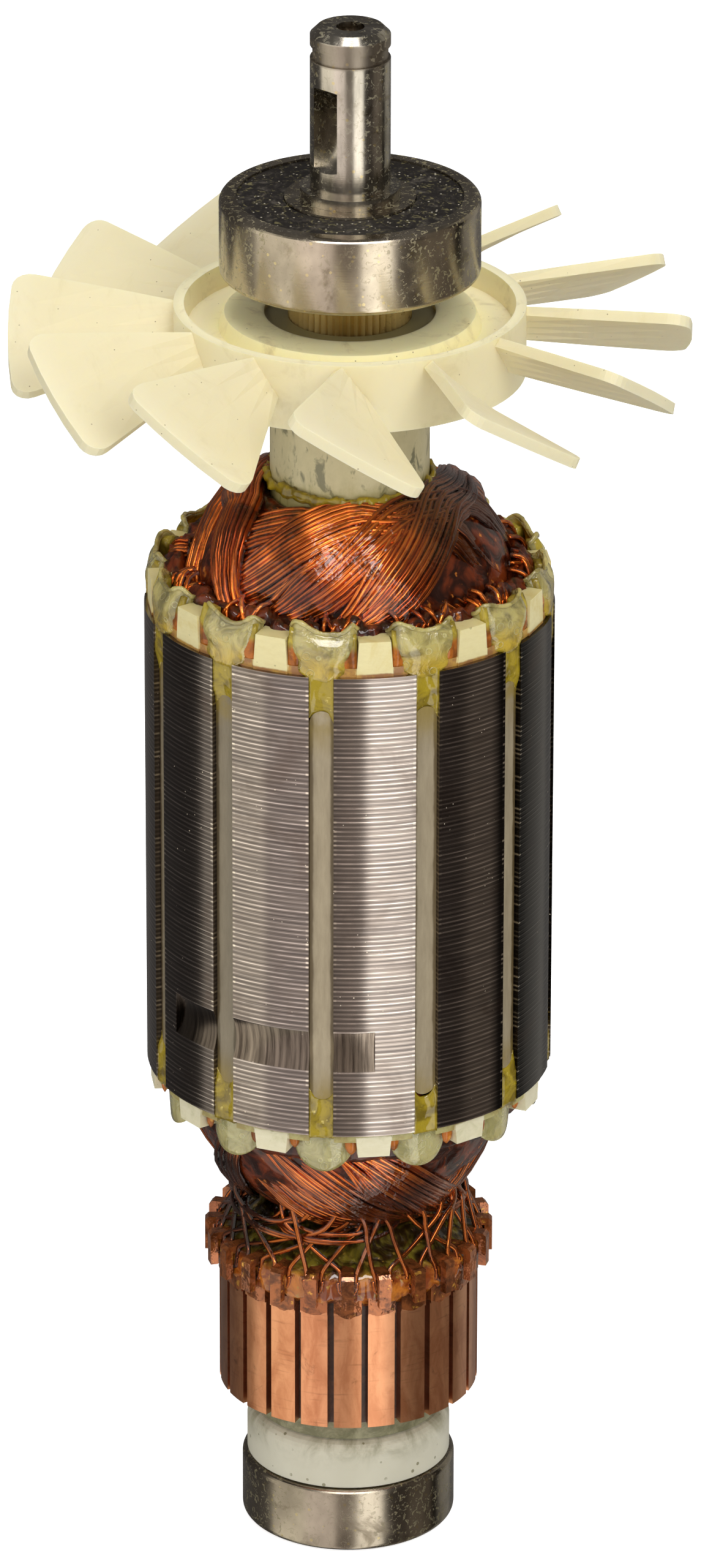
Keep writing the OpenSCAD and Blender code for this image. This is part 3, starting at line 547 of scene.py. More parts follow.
def commutator_copper():
    m = Nodes("commutator_copper")
    z = m.xyz()[2]
    az = m.azimuth()
    bar = m.math("FLOOR", m.div(m.add(az, 360 - SLOT_AZIMUTH), 360 / BARS))
    own = m.node("TexWhiteNoise")
    own.noise_dimensions = "1D"
    m.put(own.inputs["W"], bar)
    streak = m.grain((3.0, 1, 2600), 3, 0.6)
    cloud = m.grain((6.0, 1, 160), 5, 0.65, 0.5)
    col = m.tint(m.step(cloud, 0.35, 0.68), "dc9c70", "ba7850")
    col = m.paint(col, "a87454", own.outputs[0], 0.45)
    col = m.paint(col, "6e4028", m.step(streak, 0.55, 0.75), 0.3)
    smudge = m.step(m.grain((8, 1, 420), 5, 0.7, 0.8), 0.58, 0.76)
    col = m.paint(col, "54301c", smudge, 0.45)
    # Varnish above a line that dips between the bars
    turn = m.mul(m.add(az, -SLOT_AZIMUTH), BARS * math.pi / 180)
    edge = m.add(0.02850, m.mul(m.math("COSINE", turn), 0.00032))
    edge = m.add(edge, m.wobble(500, 0.0009, 3))
    wet = m.above(z, edge)
    amber = m.tint(m.step(m.noise(520, 4, 0.7, 0.6), 0.4, 0.66), "a05c30", "5e3216")
    amber = m.paint(amber, "dca040", m.step(m.noise(900, 3, 0.6), 0.62, 0.7), 0.8)
    col = m.mix(wet, col, amber)
    rough = m.add(m.mul(m.invert(wet), 0.22), 0.10)
    h = m.add(m.mul(streak, 0.35), m.mul(m.mul(wet, m.noise(620, 3, 0.6)), 8.0))
    return m.set(
        Base_Color=col, Metallic=m.sub(0.95, m.mul(wet, 0.45)), Roughness=rough,
        Normal=m.bump(h, 0.22, 0.0001), Coat_Weight=0.25, Coat_Roughness=0.12,
    )


def boot_plastic():
    m = Nodes("boot_plastic")
    col = m.tint(m.noise(150, 4, 0.6), "d4d0bc", "c1bca6")
    dirt = m.mul(m.step(m.xyz()[2], 0.0085, 0.0128), m.step(m.grain((3, 40, 260), 5, 0.7, 0.5), 0.36, 0.72))
    col = m.paint(col, "716c49", dirt, 0.85)
    bits = m.mul(m.specks(820, 0.16), m.step(m.noise(500, 2), 0.45, 0.6))
    col = m.paint(col, "6d6740", bits, 0.75)
    return m.set(
        Base_Color=col, Roughness=0.35, Specular_IOR_Level=0.45,
        Subsurface_Weight=0.35, Subsurface_Scale=0.0015, Subsurface_Radius=(1.0, 0.95, 0.8),
        Normal=m.bump(m.noise(1200, 4, 0.6), 0.12, 0.00005),
    )


def hook_varnish():
    m = Nodes("hook_varnish")
    cloud = m.noise(430, 3, 0.55, 1.0)
    low = m.tint(m.step(cloud, 0.4, 0.66), "80380a", "c47424")
    high = m.tint(m.step(cloud, 0.4, 0.66), "2a1c08", "7e7022")
    col = m.mix(m.step(m.xyz()[2], 0.0322, 0.0334), low, high)
    col = m.paint(col, "b08a38", m.step(m.noise(900, 3, 0.6), 0.62, 0.7), 0.8)
    h = m.add(cloud, m.mul(m.cells(900), 0.4))
    return m.set(
        Base_Color=col, Roughness=0.35, Specular_IOR_Level=0.1, Coat_Weight=0.9, Coat_Roughness=0.03,
        Normal=m.bump(h, 0.9, 0.0007),
    )


MATERIALS = {
    "shaft_steel": steel("shaft_steel", "969186", "c4bdb0", 0.2, "655334", 0.4, 0.15, 0.55, shaft_end=True),
    "bearing_steel": steel("bearing_steel", "9a9080", "cabfab", 0.2, "564528", 0.5, 0.15, 0.75, 0.33),
    "ball_steel": steel("ball_steel", "a8a8a8", "d0d0d0", 0.12, "8a8070", 0.1),
    "seal_rubber": seal_rubber(),
    "cage_nylon": cage_nylon(),
    "fan_plastic": fan_plastic(),
    "lamination_steel": lamination_steel(),
    "upper_block_fibre": fibre(
        "upper_block_fibre", ("e8dda8", "d8ca92"), "cdb45a", 0.42, ("8a4f16", "b98a2c"), Z_CORE_TOP * MM
    ),
    "lower_block_fibre": fibre(
        "lower_block_fibre", ("e4ddc0", "cfc6a0"), "a4a268", 0.45, ("8c7a34", "a8a060"), Z_CORE * MM
    ),
    "liner_film": film("liner_film", ("b3a870", "8c8550"), ("b5ac78", "958f5c"), 0.0470, 0.0500),
    "wedge_fibre": wedge_fibre(),
    "sleeve_fibre": sleeve_fibre(),
    "enamelled_wire": enamelled_wire(),
    "commutator_moulding": commutator_moulding(),
    "commutator_copper": commutator_copper(),
    "boot_plastic": boot_plastic(),
}
FINISH = {
    "shaft": "shaft_steel", "fan": "fan_plastic", "core_stack": "lamination_steel",
    "upper_end_insulator": "upper_block_fibre", "lower_end_insulator": "lower_block_fibre",
    "slot_liners": "liner_film", "slot_wedges": "wedge_fibre",
    "upper_sleeve": "sleeve_fibre", "lower_sleeve": "sleeve_fibre",
    "commutator_leads": "enamelled_wire", "commutator_hub": "commutator_moulding",
    "insulating_boot": "boot_plastic",
}
ENDINGS = {"_seal": "seal_rubber", "_cage": "cage_nylon", "_balls": "ball_steel"}


def finish_of(name):
    if name in FINISH:
        return FINISH[name]
    if name.startswith("coil_"):
        return "enamelled_wire"
    if name.startswith("commutator_bar_"):
        return "commutator_copper"
    for ending, finish in ENDINGS.items():
        if name.endswith(ending):
            return finish
    return "bearing_steel"


for name, obj in nodes.items():
    finish = MATERIALS[finish_of(name)]
    if obj.material_slots:
        for s in obj.material_slots:
            s.material = finish
    else:
        obj.data.materials.append(finish)


# ------------ mesh helpers
def put_object(name, data):
    o = bpy.data.objects.new(name, data)
    bpy.context.scene.collection.objects.link(o)
    return o


def mesh_piece(name, verts, faces, mat, tones=None):
    me = bpy.data.meshes.new(name)
    me.from_pydata([tuple(v) for v in (np.asarray(verts) * MM)], [], faces)
    me.update()
    me.polygons.foreach_set("use_smooth", [True] * len(me.polygons))
    if tones is not None:
        a = me.attributes.new("tone", "FLOAT", "POINT")
        a.data.foreach_set("value", np.asarray(tones, np.float32))
    me.materials.append(mat)
    o = put_object(name, me)
    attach(o, "armature")
    return o


def unit(v):
    return v / np.linalg.norm(v)


def polar(r, deg, z):
    a = math.radians(deg)
    return np.array([r * math.cos(a), r * math.sin(a), z])


def ease(t):
    t = max(0.0, min(1.0, t))
    return t * t * (3 - 2 * t)


def lump(x, y, z):
    return noise.noise(Vector((x, y, z)))


def random_tone(r, mean, spread):
    return max(0.0, min(1.0, r.gauss(mean, spread)))


def smooth_path(points, per):
    """Catmull-Rom through the points."""
    p = [2 * points[0] - points[1], *points, 2 * points[-1] - points[-2]]
    out = []
    for i in range(1, len(p) - 2):
        a, b, c, d = p[i - 1 : i + 3]
        for j in range(per):
            t = j / per
            curve = (2 * a - 5 * b + 4 * c - d) * t * t + (3 * b - a - 3 * c + d) * t**3
            out.append(0.5 * (2 * b + (c - a) * t + curve))
    out.append(np.array(points[-1]))
    return out


def tube_faces(first, rings, sides):
    """Faces of a closed tube, whose rings of points follow one another."""
    faces = []
    for i in range(rings - 1):
        for j in range(sides):
            a, b = first + i * sides + j, first + i * sides + (j + 1) % sides
            faces.append((a, b, b + sides, a + sides))
    last = first + (rings - 1) * sides
    return faces + [tuple(range(first, first + sides))[::-1], tuple(range(last, last + sides))]


def sheet_faces(first, nu, nv):
    """Faces of a closed sheet: the nu by nv points of its outer side, then its inner side's."""

    def q(i, j, inner=0):
        return first + (inner * nu + i) * nv + j

    faces = []
    for i in range(nu - 1):
        for j in range(nv - 1):
            faces.append((q(i, j), q(i + 1, j), q(i + 1, j + 1), q(i, j + 1)))
            faces.append((q(i, j, 1), q(i, j + 1, 1), q(i + 1, j + 1, 1), q(i + 1, j, 1)))
    rim = [(i, 0) for i in range(nu)] + [(nu - 1, j) for j in range(1, nv)]
    rim += [(i, nv - 1) for i in range(nu - 2, -1, -1)] + [(0, j) for j in range(nv - 2, 0, -1)]
    for (a, b), (c, d) in zip(rim, rim[1:] + rim[:1]):
        faces.append((q(a, b), q(a, b, 1), q(c, d, 1), q(c, d)))
    return faces


class Tubes:
    """Many round wires gathered into one mesh."""

    def __init__(self):
        self.v, self.f, self.t = [], [], []

    def add(self, path, radius, tone=0.0, sides=6):
        n = len(path)
        radius = radius if hasattr(radius, "__len__") else [radius] * n
        up = None
        self.f += tube_faces(len(self.v), n, sides)
        for i in range(n):
            d = unit(path[min(i + 1, n - 1)] - path[max(i - 1, 0)])
            if up is None:
                up = np.array([0.0, 0.0, 1.0]) if abs(d[2]) < 0.9 else np.array([1.0, 0.0, 0.0])
            up = unit(up - d * np.dot(up, d))
            side = np.cross(d, up)
            for j in range(sides):
                a = 2 * math.pi * j / sides
                self.v.append(path[i] + radius[i] * (math.cos(a) * up + math.sin(a) * side))
                self.t.append(tone)

    def piece(self, name, mat=MATERIALS["enamelled_wire"], toned=True):
        return mesh_piece(name, self.v, self.f, mat, self.t if toned else None)


# ------------ winding
# Twelve coils in six layers of two. Each leaves a slot, spreads into a ribbon
# that lies over the earlier ones, passes the sleeve and closes up again.
LAYERS = SLOTS // 2
SPAN = 5  # slots
WIRE_R = 0.24
BUNDLE = 2.6  # width of a coil where it leaves its slot
SLAB = 0.62, 1.0  # how deep the dark slab under a ribbon's wires lies


class Mound:
    """The winding's outer form beyond an end of the core: distance along its
    profile from the core, to radius and height."""

    def __init__(self, profile):
        self.p = np.array(smooth_path([np.array(q, float) for q in profile], 6))
        self.m = np.concatenate([[0], np.cumsum(np.linalg.norm(np.diff(self.p, axis=0), axis=1))])

    def place(self, m):
        return np.array([np.interp(m, self.m, self.p[:, i]) for i in (0, 1)])

    def at(self, m, inset):
        m = max(min(m, self.m[-1] - 0.02), -9)
        if m < 0:
            return self.p[0][0] - inset, m
        q = self.place(m)
        d = unit(self.place(min(self.m[-1], m + 0.5)) - self.place(max(0, m - 0.5)))
        return q[0] - d[1] * inset, q[1] + d[0] * inset


TOP = Mound([
    (17.5, 0), (17.6, 2.6), (17.2, 4.8), (16.3, 6.9), (15.2, 8.8),
    (14.0, 10.4), (12.7, 11.7), (11.2, 12.8), (9.8, 13.7), (8.35, 14.4),
])
BOTTOM = Mound([
    (17.3, 0), (17.4, 2.8), (16.9, 5.4), (16.1, 7.8), (15.1, 9.7),
    (13.9, 11.4), (12.7, 13.0), (11.5, 14.4), (10.0, 15.6), (8.4, 16.4),
])


def ribbon_line(k, mound):
    """Azimuth, distance up the mound, inset, width and thickness along a coil's run."""
    layer = k % LAYERS
    start = SLOT_ANGLE + (k + 1 - LAYERS) * PITCH
    middle = start + SPAN / 2 * PITCH
    crest = mound.m[-1] - [4.2, 3.6, 3.0, 2.2, 2.2, 2.3][layer]
    deep = 0.72 * (LAYERS - 1 - layer)
    shallow = min(1.6, deep)
    high = [2.3, 1.8, 1.2, 0.35, 0.2, 0.0][layer]
    wide = [5.6, 5.8, 6.0, 6.8, 7.0, 7.2][layer]

    def slot_rows(angle, *heights):
        return [(angle, m, shallow, BUNDLE, 2.4) for m in heights]

    out = slot_rows(start, -2.0, 0.3, 1.6)
    n = 34
    for i in range(n + 1):
        u = -math.cos(math.pi * i / n)
        s = 1 - abs(u)
        if u < 0:
            g = math.sin(math.pi / 2 * s) ** 1.35
            w = 2.8 + (wide - 2.8) * ease(s / 0.36)
        else:
            g = 0.8 * ease(s / 0.5) + 0.2 * s**1.2
            w = BUNDLE + (0.68 * wide - BUNDLE) * ease(s / 0.4) + 0.25 * wide * ease((s - 0.4) / 0.5)
        inset = shallow + (deep - shallow) * ease(s / 0.25)
        inset += (high - deep) * ease((g - 0.35) / 0.45)
        thick = 0.9 + 1.5 * (1 - ease(s / 0.3))
        out.append((middle + SPAN / 2 * PITCH * u, 2.8 + (crest - 2.8) * g, inset, w, thick))
    return out + slot_rows(start + SPAN * PITCH, 1.6, 0.3, -2.0)


def ribbon(k, top, tubes):
    mound = TOP if top else BOTTOM
    rows = ribbon_line(k, mound)
    n = len(rows)
    az = np.radians([r[0] for r in rows])
    m = np.array([r[1] for r in rows])
    rad = np.array([mound.at(r[1], r[2])[0] for r in rows])
    da, dm = np.gradient(az) * rad, np.gradient(m)
    length = np.hypot(da, dm)
    pa, pm = -dm / length, da / length
    for e in (0, 1, 2, -1, -2, -3):
        pa[e] = -1.0 if e >= 0 else 1.0
        pm[e] = 0.0
    local = random.Random(500 + 2 * k + top)

    def point(i, q, depth):
        r, h = mound.at(m[i] + q * pm[i], rows[i][2] + depth)
        a = az[i] + q * pa[i] / max(r, 7.0)
        r = max(r, SLEEVE_R + 0.05)
        return np.array([r * math.cos(a), r * math.sin(a), Z_CORE_TOP + h if top else Z_CORE - h])

    # Wires in two levels, and one that strays over them: place across, level, order
    surface = 14 if k % LAYERS >= 3 else 11
    plan = [(2 * (j + 0.5) / surface - 1, 0, j) for j in range(surface)]
    plan += [(2 * (j + 1) / surface - 1, 1, j + 2) for j in range(surface - 1)]
    plan.append((local.uniform(-0.7, 0.7), -1, 0))
    for q0, level, j in plan:
        stray = level < 0
        ph = [local.uniform(0, 6.28) for _ in range(5)]
        amp = 0.16 if stray else 0.022
        tone = random_tone(local, 0.5, 0.3)
        side = (j % 3) / 2.0
        path = []
        for i in range(n):
            s = i / (n - 1)
            fade = min(1.0, 5 * s, 5 * (1 - s))
            q = q0 + fade * amp * (math.sin(4.1 * s + ph[0]) + 0.7 * math.sin(9.3 * s + ph[1]))
            width, thick = rows[i][3:]
            spread = (thick - 0.9) / 1.5
            depth = -0.26 if stray else 0.33 * level + 0.12 * math.sin(7 * s + ph[2]) + spread * 1.5 * side
            path.append(point(i, q * (width / 2 - WIRE_R), depth + 0.5 * abs(q) ** 3 + WIRE_R))
        tubes.add(path, WIRE_R * local.uniform(0.94, 1.04), tone, 6)
    # The turns below, as one dark closed slab under the surface wires
    base, cols = len(tubes.v), 6
    across = [2 * j / cols - 1 for j in range(cols + 1)]
    section = [(q, SLAB[0]) for q in across] + [(q, SLAB[1]) for q in reversed(across)]
    for i in range(n):
        tubes.v += [point(i, q * rows[i][3] * 0.46, depth + 0.5 * abs(q) ** 3) for q, depth in section]
    tubes.t += [0.0] * (n * len(section))
    faces = tube_faces(base, n, len(section))
    a = base + (n // 2) * len(section) + cols // 2
    normal = np.cross(tubes.v[a + 1] - tubes.v[a], tubes.v[a + len(section)] - tubes.v[a])
    inward = np.dot(normal, point(n // 2, 0, 0.0) - point(n // 2, 0, 1.0)) < 0
    tubes.f += [f[::-1] for f in faces] if inward else faces


for k in range(SLOTS):
    tubes = Tubes()
    ribbon(k, True, tubes)
    ribbon(k, False, tubes)
    # The two sides inside the slots
    start = SLOT_ANGLE + (k + 1 - LAYERS) * PITCH
    for a, r in ((start, 15.1), (start + SPAN * PITCH, 17.0 if k % LAYERS else 15.1)):
        across = unit(polar(1, a + 90, 0))
        for q in (-0.65, 0, 0.65):
            tubes.add([polar(r, a, z) + across * q for z in (Z_CORE - 1, 77.2, Z_CORE_TOP + 1)], 0.65)
    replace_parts(tubes.piece(f"coil_{k + 1:02d}_wires"), f"coil_{k + 1:02d}")


def slot_exits():
    """Wires that come up out of the slots, seen in the collars' dips."""
    exits = Tubes()
    for k in range(SLOTS):
        local = random.Random(300 + k)
        for j in range(8):
            across = -2.2 + 4.4 * j / 7 + local.uniform(-0.3, 0.3)
            a = SLOT_ANGLE + k * PITCH + math.degrees(across / 18.2)
            lean = local.uniform(-6.0, 6.0)
            top_h = 4.9 + local.uniform(-0.7, 0.6) - 0.06 * across * across
            rise = [(18.1, 0, -0.5), (18.35, 0, 2.4), (18.2, 0.4, 4.0)]
            rise += [(17.5, 1, top_h), (16.2, 1.6, top_h + 0.2)]
            path = [polar(r, a + part * lean, Z_CORE_TOP + h) for r, part, h in rise]
            exits.add(smooth_path(path, 3), WIRE_R, random_tone(local, 0.4, 0.3))
    exits.piece("slot_exit_wires")


slot_exits()


# ------------ varnish
def revolved(name, profile, mat, lumps, scale, steps, seed, shape=None):
    """A closed ring turned from a closed profile of (radius, z), with lumps."""
    n = len(profile)
    middle = np.mean(np.array(profile), axis=0)
    v, f = [], []
    for i in range(steps):
        a = 2 * math.pi * i / steps
        for r, z in profile:
            if shape:
                r, z = shape(math.degrees(a), r, z)
            p = np.array([r * math.cos(a), r * math.sin(a), z])
            q = Vector(p * scale) + Vector((seed, seed * 1.7, seed * 0.6))
            d = noise.noise(q) + 0.5 * noise.noise(q * 2.3)
            out = np.array([r, z]) - middle
            out = out / (np.linalg.norm(out) + 1e-6)
            v.append(p + lumps * d * np.array([out[0] * math.cos(a), out[0] * math.sin(a), out[1]]))
    for i in range(steps):
        for j in range(n):
            a, b = i * n + j, i * n + (j + 1) % n
            following = ((i + 1) % steps) * n - i * n
            f.append((a, a + following, b + following, b))
    return mesh_piece(name, v, f, mat)


def oval(r, z, rx, rz, n=14):
    turns = [2 * math.pi * j / n for j in range(n)]
    return [(r + rx * math.cos(a), z + rz * math.sin(a)) for a in turns]


wine = varnish("wine_varnish", "280c04", "6e2c0e", "d07a2c", 0.55)
amber = varnish("amber_varnish", "a08a1e", "6e5c12", "dcc668", 1.0)


# Dark depth under the ribbons, at both ends. It fills the hollows beside the last coils.
def depth_upper(a, r, z):
    fill = max(0.0, math.cos(math.radians(2 * (a + 5)))) ** 2
    return (r + 0.9 * fill, z + 0.5 * fill) if r > 8.35 else (r, z)


for name, mound, sign, z0, inset, shape in (
    ("winding_depth_upper", TOP, 1, Z_CORE_TOP, 2.0, depth_upper),
    ("winding_depth_lower", BOTTOM, -1, Z_CORE, 1.0, None),
):
    outer = [mound.at(m, inset) for m in np.linspace(0.4, mound.m[-1] - 1.2, 12)]
    outer = [(max(r, SLEEVE_R + 0.1), h) for r, h in outer] + [(SLEEVE_R, outer[-1][1]), (SLEEVE_R, 1.0)]
    loop = [(r, z0 + sign * h) for r, h in outer]
    revolved(name, loop, wine, 0.15, 0.5, 96, 3.0, shape)


# Varnish that ran to the winding's foot, behind the collars
def foot_shape(a, r, z):
    wave = math.sin(math.radians(12 * (a - SLOT_ANGLE)))
    return r, z + (0.35 * wave if z > Z_CORE_TOP else 0)


ring = oval(17.3, Z_CORE_TOP + 3.0, 1.0, 1.7)
revolved("foot_varnish_upper", ring, wine, 0.8, 0.9, 300, 1.0, foot_shape)
ring = oval(16.9, Z_CORE - 3.0, 1.0, 1.5)
revolved("foot_varnish_lower", ring, wine, 0.5, 0.6, 160, 2.0)
ring = oval(8.3, Z_CORE_TOP + 13.7, 0.35, 0.55, 10)
revolved("sleeve_varnish", ring, amber, 0.45, 1.3, 160, 5.0)


# ------------ collars
def sheets_piece(name, patches, mat, thick=0.32):
    """Curved sheets of (u, v) points, given thickness and joined as one piece."""
    v, f = [], []
    for pts in patches:
        flat = np.array(pts, float)
        nrm = np.cross(np.gradient(flat, axis=0), np.gradient(flat, axis=1))
        if np.sum(nrm[:, :, :2] * flat[:, :, :2]) < 0:
            flat, nrm = flat[::-1], -nrm[::-1]
        nrm /= np.linalg.norm(nrm, axis=2, keepdims=True) + 1e-9
        f += sheet_faces(len(v), len(pts), len(pts[0]))
        for side in (flat, flat - nrm * thick):
            v += list(side.reshape(-1, 3))
    return mesh_piece(name, v, f, mat)


def slot_frame(i, offset=0.0):
    """Place (tangential x, radial y, z) at slot i, or at the block beside it."""
    a = math.radians(SLOT_ANGLE + (i + offset) * PITCH)
    out = np.array([math.cos(a), math.sin(a), 0])
    side = np.array([-math.sin(a), math.cos(a), 0])
    return lambda x, y, z: side * x + out * y + np.array([0, 0, z])


def lip_height(i, u):
    """Height of collar i's lip above the core, at u from -1 to 1 across it."""
    r = random.Random(40 + i)
    low, high, skew = 4.3 + r.uniform(-0.3, 0.3), 5.5 + r.uniform(-0.3, 0.2), r.uniform(-0.22, 0.22)
    v = u + skew * (1 - u * u)
    z = low + 0.8 * (high - low) * ease((abs(v) - 0.08) / 0.66) - 0.9 * ease((abs(u) - 0.66) / 0.34) ** 1.3
    return z + 0.2 * lump(u * 2.5, i * 3.1, 0.0)


def collar_point(i, u, t):
    """A point of collar i, at u across it and t from 0 at the core to 1 at its lip."""
    half = 1.25 + 1.35 * ease(t / 0.2) + 0.75 * ease((t - 0.3) / 0.24)
    z = Z_CORE_TOP - 0.4 + (lip_height(i, u) + 0.4) * t
    y = CORE_R - 0.22 - (0.2 + 1.5 * ease(t / 0.4)) * abs(u) ** 3.2
    y += 0.2 * math.sin(math.pi * t) + 0.13 * lump(u * 1.7, t * 2, i * 2.3)
    y -= 0.75 * ease((t - 0.66) / 0.34)
    return slot_frame(i)(half * math.sin(u * 1.35) / math.sin(1.35), y, z)


def collars():
    """The liners' turned-out ends above the core."""
    nu, nv = 24, 14
    patches = [
        [[collar_point(i, 2 * a / nu - 1, b / nv) for b in range(nv + 1)] for a in range(nu + 1)]
        for i in range(SLOTS)
    ]
    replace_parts(sheets_piece("slot_collars", patches, collar_film), "slot_liners")


def lips():
    """A glossy bead of varnish along each collar's lip."""
    beads = Tubes()
    for i in range(SLOTS):
        path = [collar_point(i, u, 1.0) for u in np.linspace(-1, 1, 25)]
        beads.add(path, [0.24 + 0.14 * lump(a * 0.55, i * 5.0, 2.0) for a in range(25)], sides=8)
    beads.piece("collar_lips", collar_film, toned=False)


def tongues():
    """The liners' rounded tongues below the core."""
    patches = []
    nu, nv = 16, 10
    for i in range(SLOTS):
        put = slot_frame(i)
        long = 4.5 + random.Random(140 + i).uniform(-0.25, 0.15)
        pts = []
        for a in range(nu + 1):
            u = 2 * a / nu - 1
            drop = long - 3.0 * (1 - math.sqrt(max(0.0, 1 - (abs(u) * 0.98) ** 2)))
            row = []
            for t in (b / nv for b in range(nv + 1)):
                y = 19.3 - 1.1 * u * u + 0.25 * t + 0.06 * lump(u * 2, t * 2, i * 1.3)
                row.append(put(3.05 * u, y, Z_CORE - 0.3 - (drop - 0.3) * (1 - t)))
            pts.append(row)
        patches.append(pts)
    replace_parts(sheets_piece("slot_tongues", patches, MATERIALS["liner_film"]), "slot_liners")


collar_film = film("collar_film", ("c6a634", "8a7420"), ("bcae6e", "7e7444"), 0.1026, 0.1056)
collars()
tongues()
lips()


def cuffs():
    """Brown strips of varnish beside each block, and smaller beads beside the lower ones."""
    v, f = [], []
    n = 7
    for i in range(SLOTS):
        put = slot_frame(i, 0.5)
        r = random.Random(70 + i)
        for side, width, tall in ((-1, 1.5, 4.5), (1, 1.15, 4.8)):
            x0 = side * 1.78
            across = side * (width + r.uniform(-0.15, 0.2))
            h = tall + r.uniform(-0.3, 0.35)
            f += sheet_faces(len(v), n, n)
            grid = [(a / (n - 1), b / (n - 1)) for a in range(n) for b in range(n)]
            for s, t in grid:
                bulge = 0.22 * math.sin(math.pi * s) * math.sin(math.pi * min(1, t + 0.15))
                y = 19.95 + bulge - 0.25 * s - 0.5 * ease((t - 0.7) / 0.3)
                y += 0.12 * lump(s * 3, t * 3, i * 2.0 + side)
                v.append(put(x0 + across * s, y, Z_CORE_TOP + 0.5 + (h - 0.5) * t - 0.35 * s * t))
            v += [put(x0 + across * s, 18.3, Z_CORE_TOP + 0.5 + (h - 0.9) * t) for s, t in grid]
    rings, sides = 9, 8
    for i in range(SLOTS):
        put = slot_frame(i, 0.5)
        r = random.Random(170 + i)
        for side in (-1, 1):
            f += tube_faces(len(v), rings, sides)
            long, wide = r.uniform(1.9, 2.9), r.uniform(0.5, 0.75)
            for t in (a / (rings - 1) for a in range(rings)):
                fat = wide * math.sqrt(max(0.02, 1 - (2 * t - 1) ** 2))
                for x, y in oval(side * (2.05 + 0.12 * t), 19.2, fat, 0.7 * fat, sides):
                    v.append(put(x, y, Z_CORE + 0.1 - long * t))
    cuff_mat = varnish("cuff_varnish", "b8681f", "7c420e", "dca448", 0.6, gold_from=0.1052)
    mesh_piece("block_cuffs", v, f, cuff_mat)


def slot_pools():
    """Varnish in both ends of the slots' mouths."""
    patches = []
    nu, nv = 10, 14
    for i in range(SLOTS):
        put = slot_frame(i)
        r = random.Random(90 + i)
        for top in (True, False):
            length = (4.3 if top else 3.9) + r.uniform(-0.3, 0.5)
            tail = r.uniform(0.6, 1.6), r.uniform(0.6, 1.6)
            pts = []
            for a in range(nu + 1):
                u = 2 * a / nu - 1
                reach = length + tail[u > 0] * abs(u) ** 2.5
                row = []
                for t in (b / nv for b in range(nv + 1)):
                    z = Z_CORE_TOP + 0.3 - reach * t if top else Z_CORE - 0.3 + reach * t
                    y = 19.95 + 0.42 * ease((1 - t) / 0.45) + 0.13 * u * u
                    row.append(put(1.24 * u, y + 0.10 * lump(u * 2, t * 5, i * 1.9 + top), z))
                pts.append(row if top else row[::-1])
            patches.append(pts)
    sheets_piece("slot_varnish", patches, amber, 0.5)


cuffs()
slot_pools()


# ------------ commutator
HOOK_TURN = ((-4.2, 1.0), (-3.2, 2.1), (0, 2.5), (3.2, 2.1), (4.2, 1.0))


def leads():
    """Wires from the winding straight down to the hooks, crossing each other."""
    t = Tubes()
    r = random.Random(21)
    for i in range(BARS):
        a0 = SLOT_ANGLE + (i + 0.5) * 360 / BARS
        for way, reach in ((1, r.uniform(6, 58)), (-1, r.uniform(4, 48))):
            from_r = r.uniform(10.6, 12.4)
            high = Z_CORE - 14.0 - (12.4 - from_r) * 0.8 + r.uniform(-0.5, 0.9)
            side = way * r.uniform(2.7, 4.4)
            pts = [
                polar(13.7, a0 + side, Z_COMM_TOP - 2.2),
                polar(13.5, a0 + side + way * 0.4, Z_COMM_TOP - 0.7),
                polar(13.2, a0 + side + way * 1.4, Z_COMM_TOP + 0.15),
            ]
            near, far = pts[-1], polar(from_r, a0 + way * reach, high)
            sag = r.uniform(-0.5, 0.25)
            for u in (0.33, 0.67, 1.0):
                pts.append(near + (far - near) * u + np.array([0, 0, sag * math.sin(math.pi * u)]))
            pts.append(polar(from_r - 1.2, a0 + way * (reach + 8), high + 2.2))
            t.add(smooth_path(pts, 5), 0.26, random_tone(r, 0.8, 0.2))
        # The wire's turn behind the hook
        turn = [polar(13.7, a0 + q, Z_COMM_TOP - d) for q, d in HOOK_TURN]
        t.add(smooth_path(turn, 4), WIRE_R, 0.6)
    # Loose turns that cross under the winding on their way to the hooks
    for i in range(24):
        a, span = 15 * i + r.uniform(-6, 6), r.uniform(45, 90) * r.choice((-1, 1))
        level, lift = Z_CORE - 14.7 - r.uniform(0, 1.9), r.uniform(0.8, 1.6)
        path = []
        for u in (j / 14 for j in range(15)):
            end = abs(2 * u - 1) ** 3
            path.append(polar(12.2 - 2.2 * end, a + span * u, level + lift * end))
        t.add(path, 0.23, random_tone(r, 0.6, 0.3))
    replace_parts(t.piece("lead_wires"), "commutator_leads")


leads()
BED = [
    (8.3, 36.6), (9.4, 35.2), (10.6, 34.2), (12.2, 33.3), (13.3, 32.9),
    (13.8, 32.1), (13.75, 30.4), (12.9, 29.4), (8.6, 31.0),
]
revolved("hook_varnish_bed", BED, hook_varnish(), 0.5, 1.0, 240, 7.0)


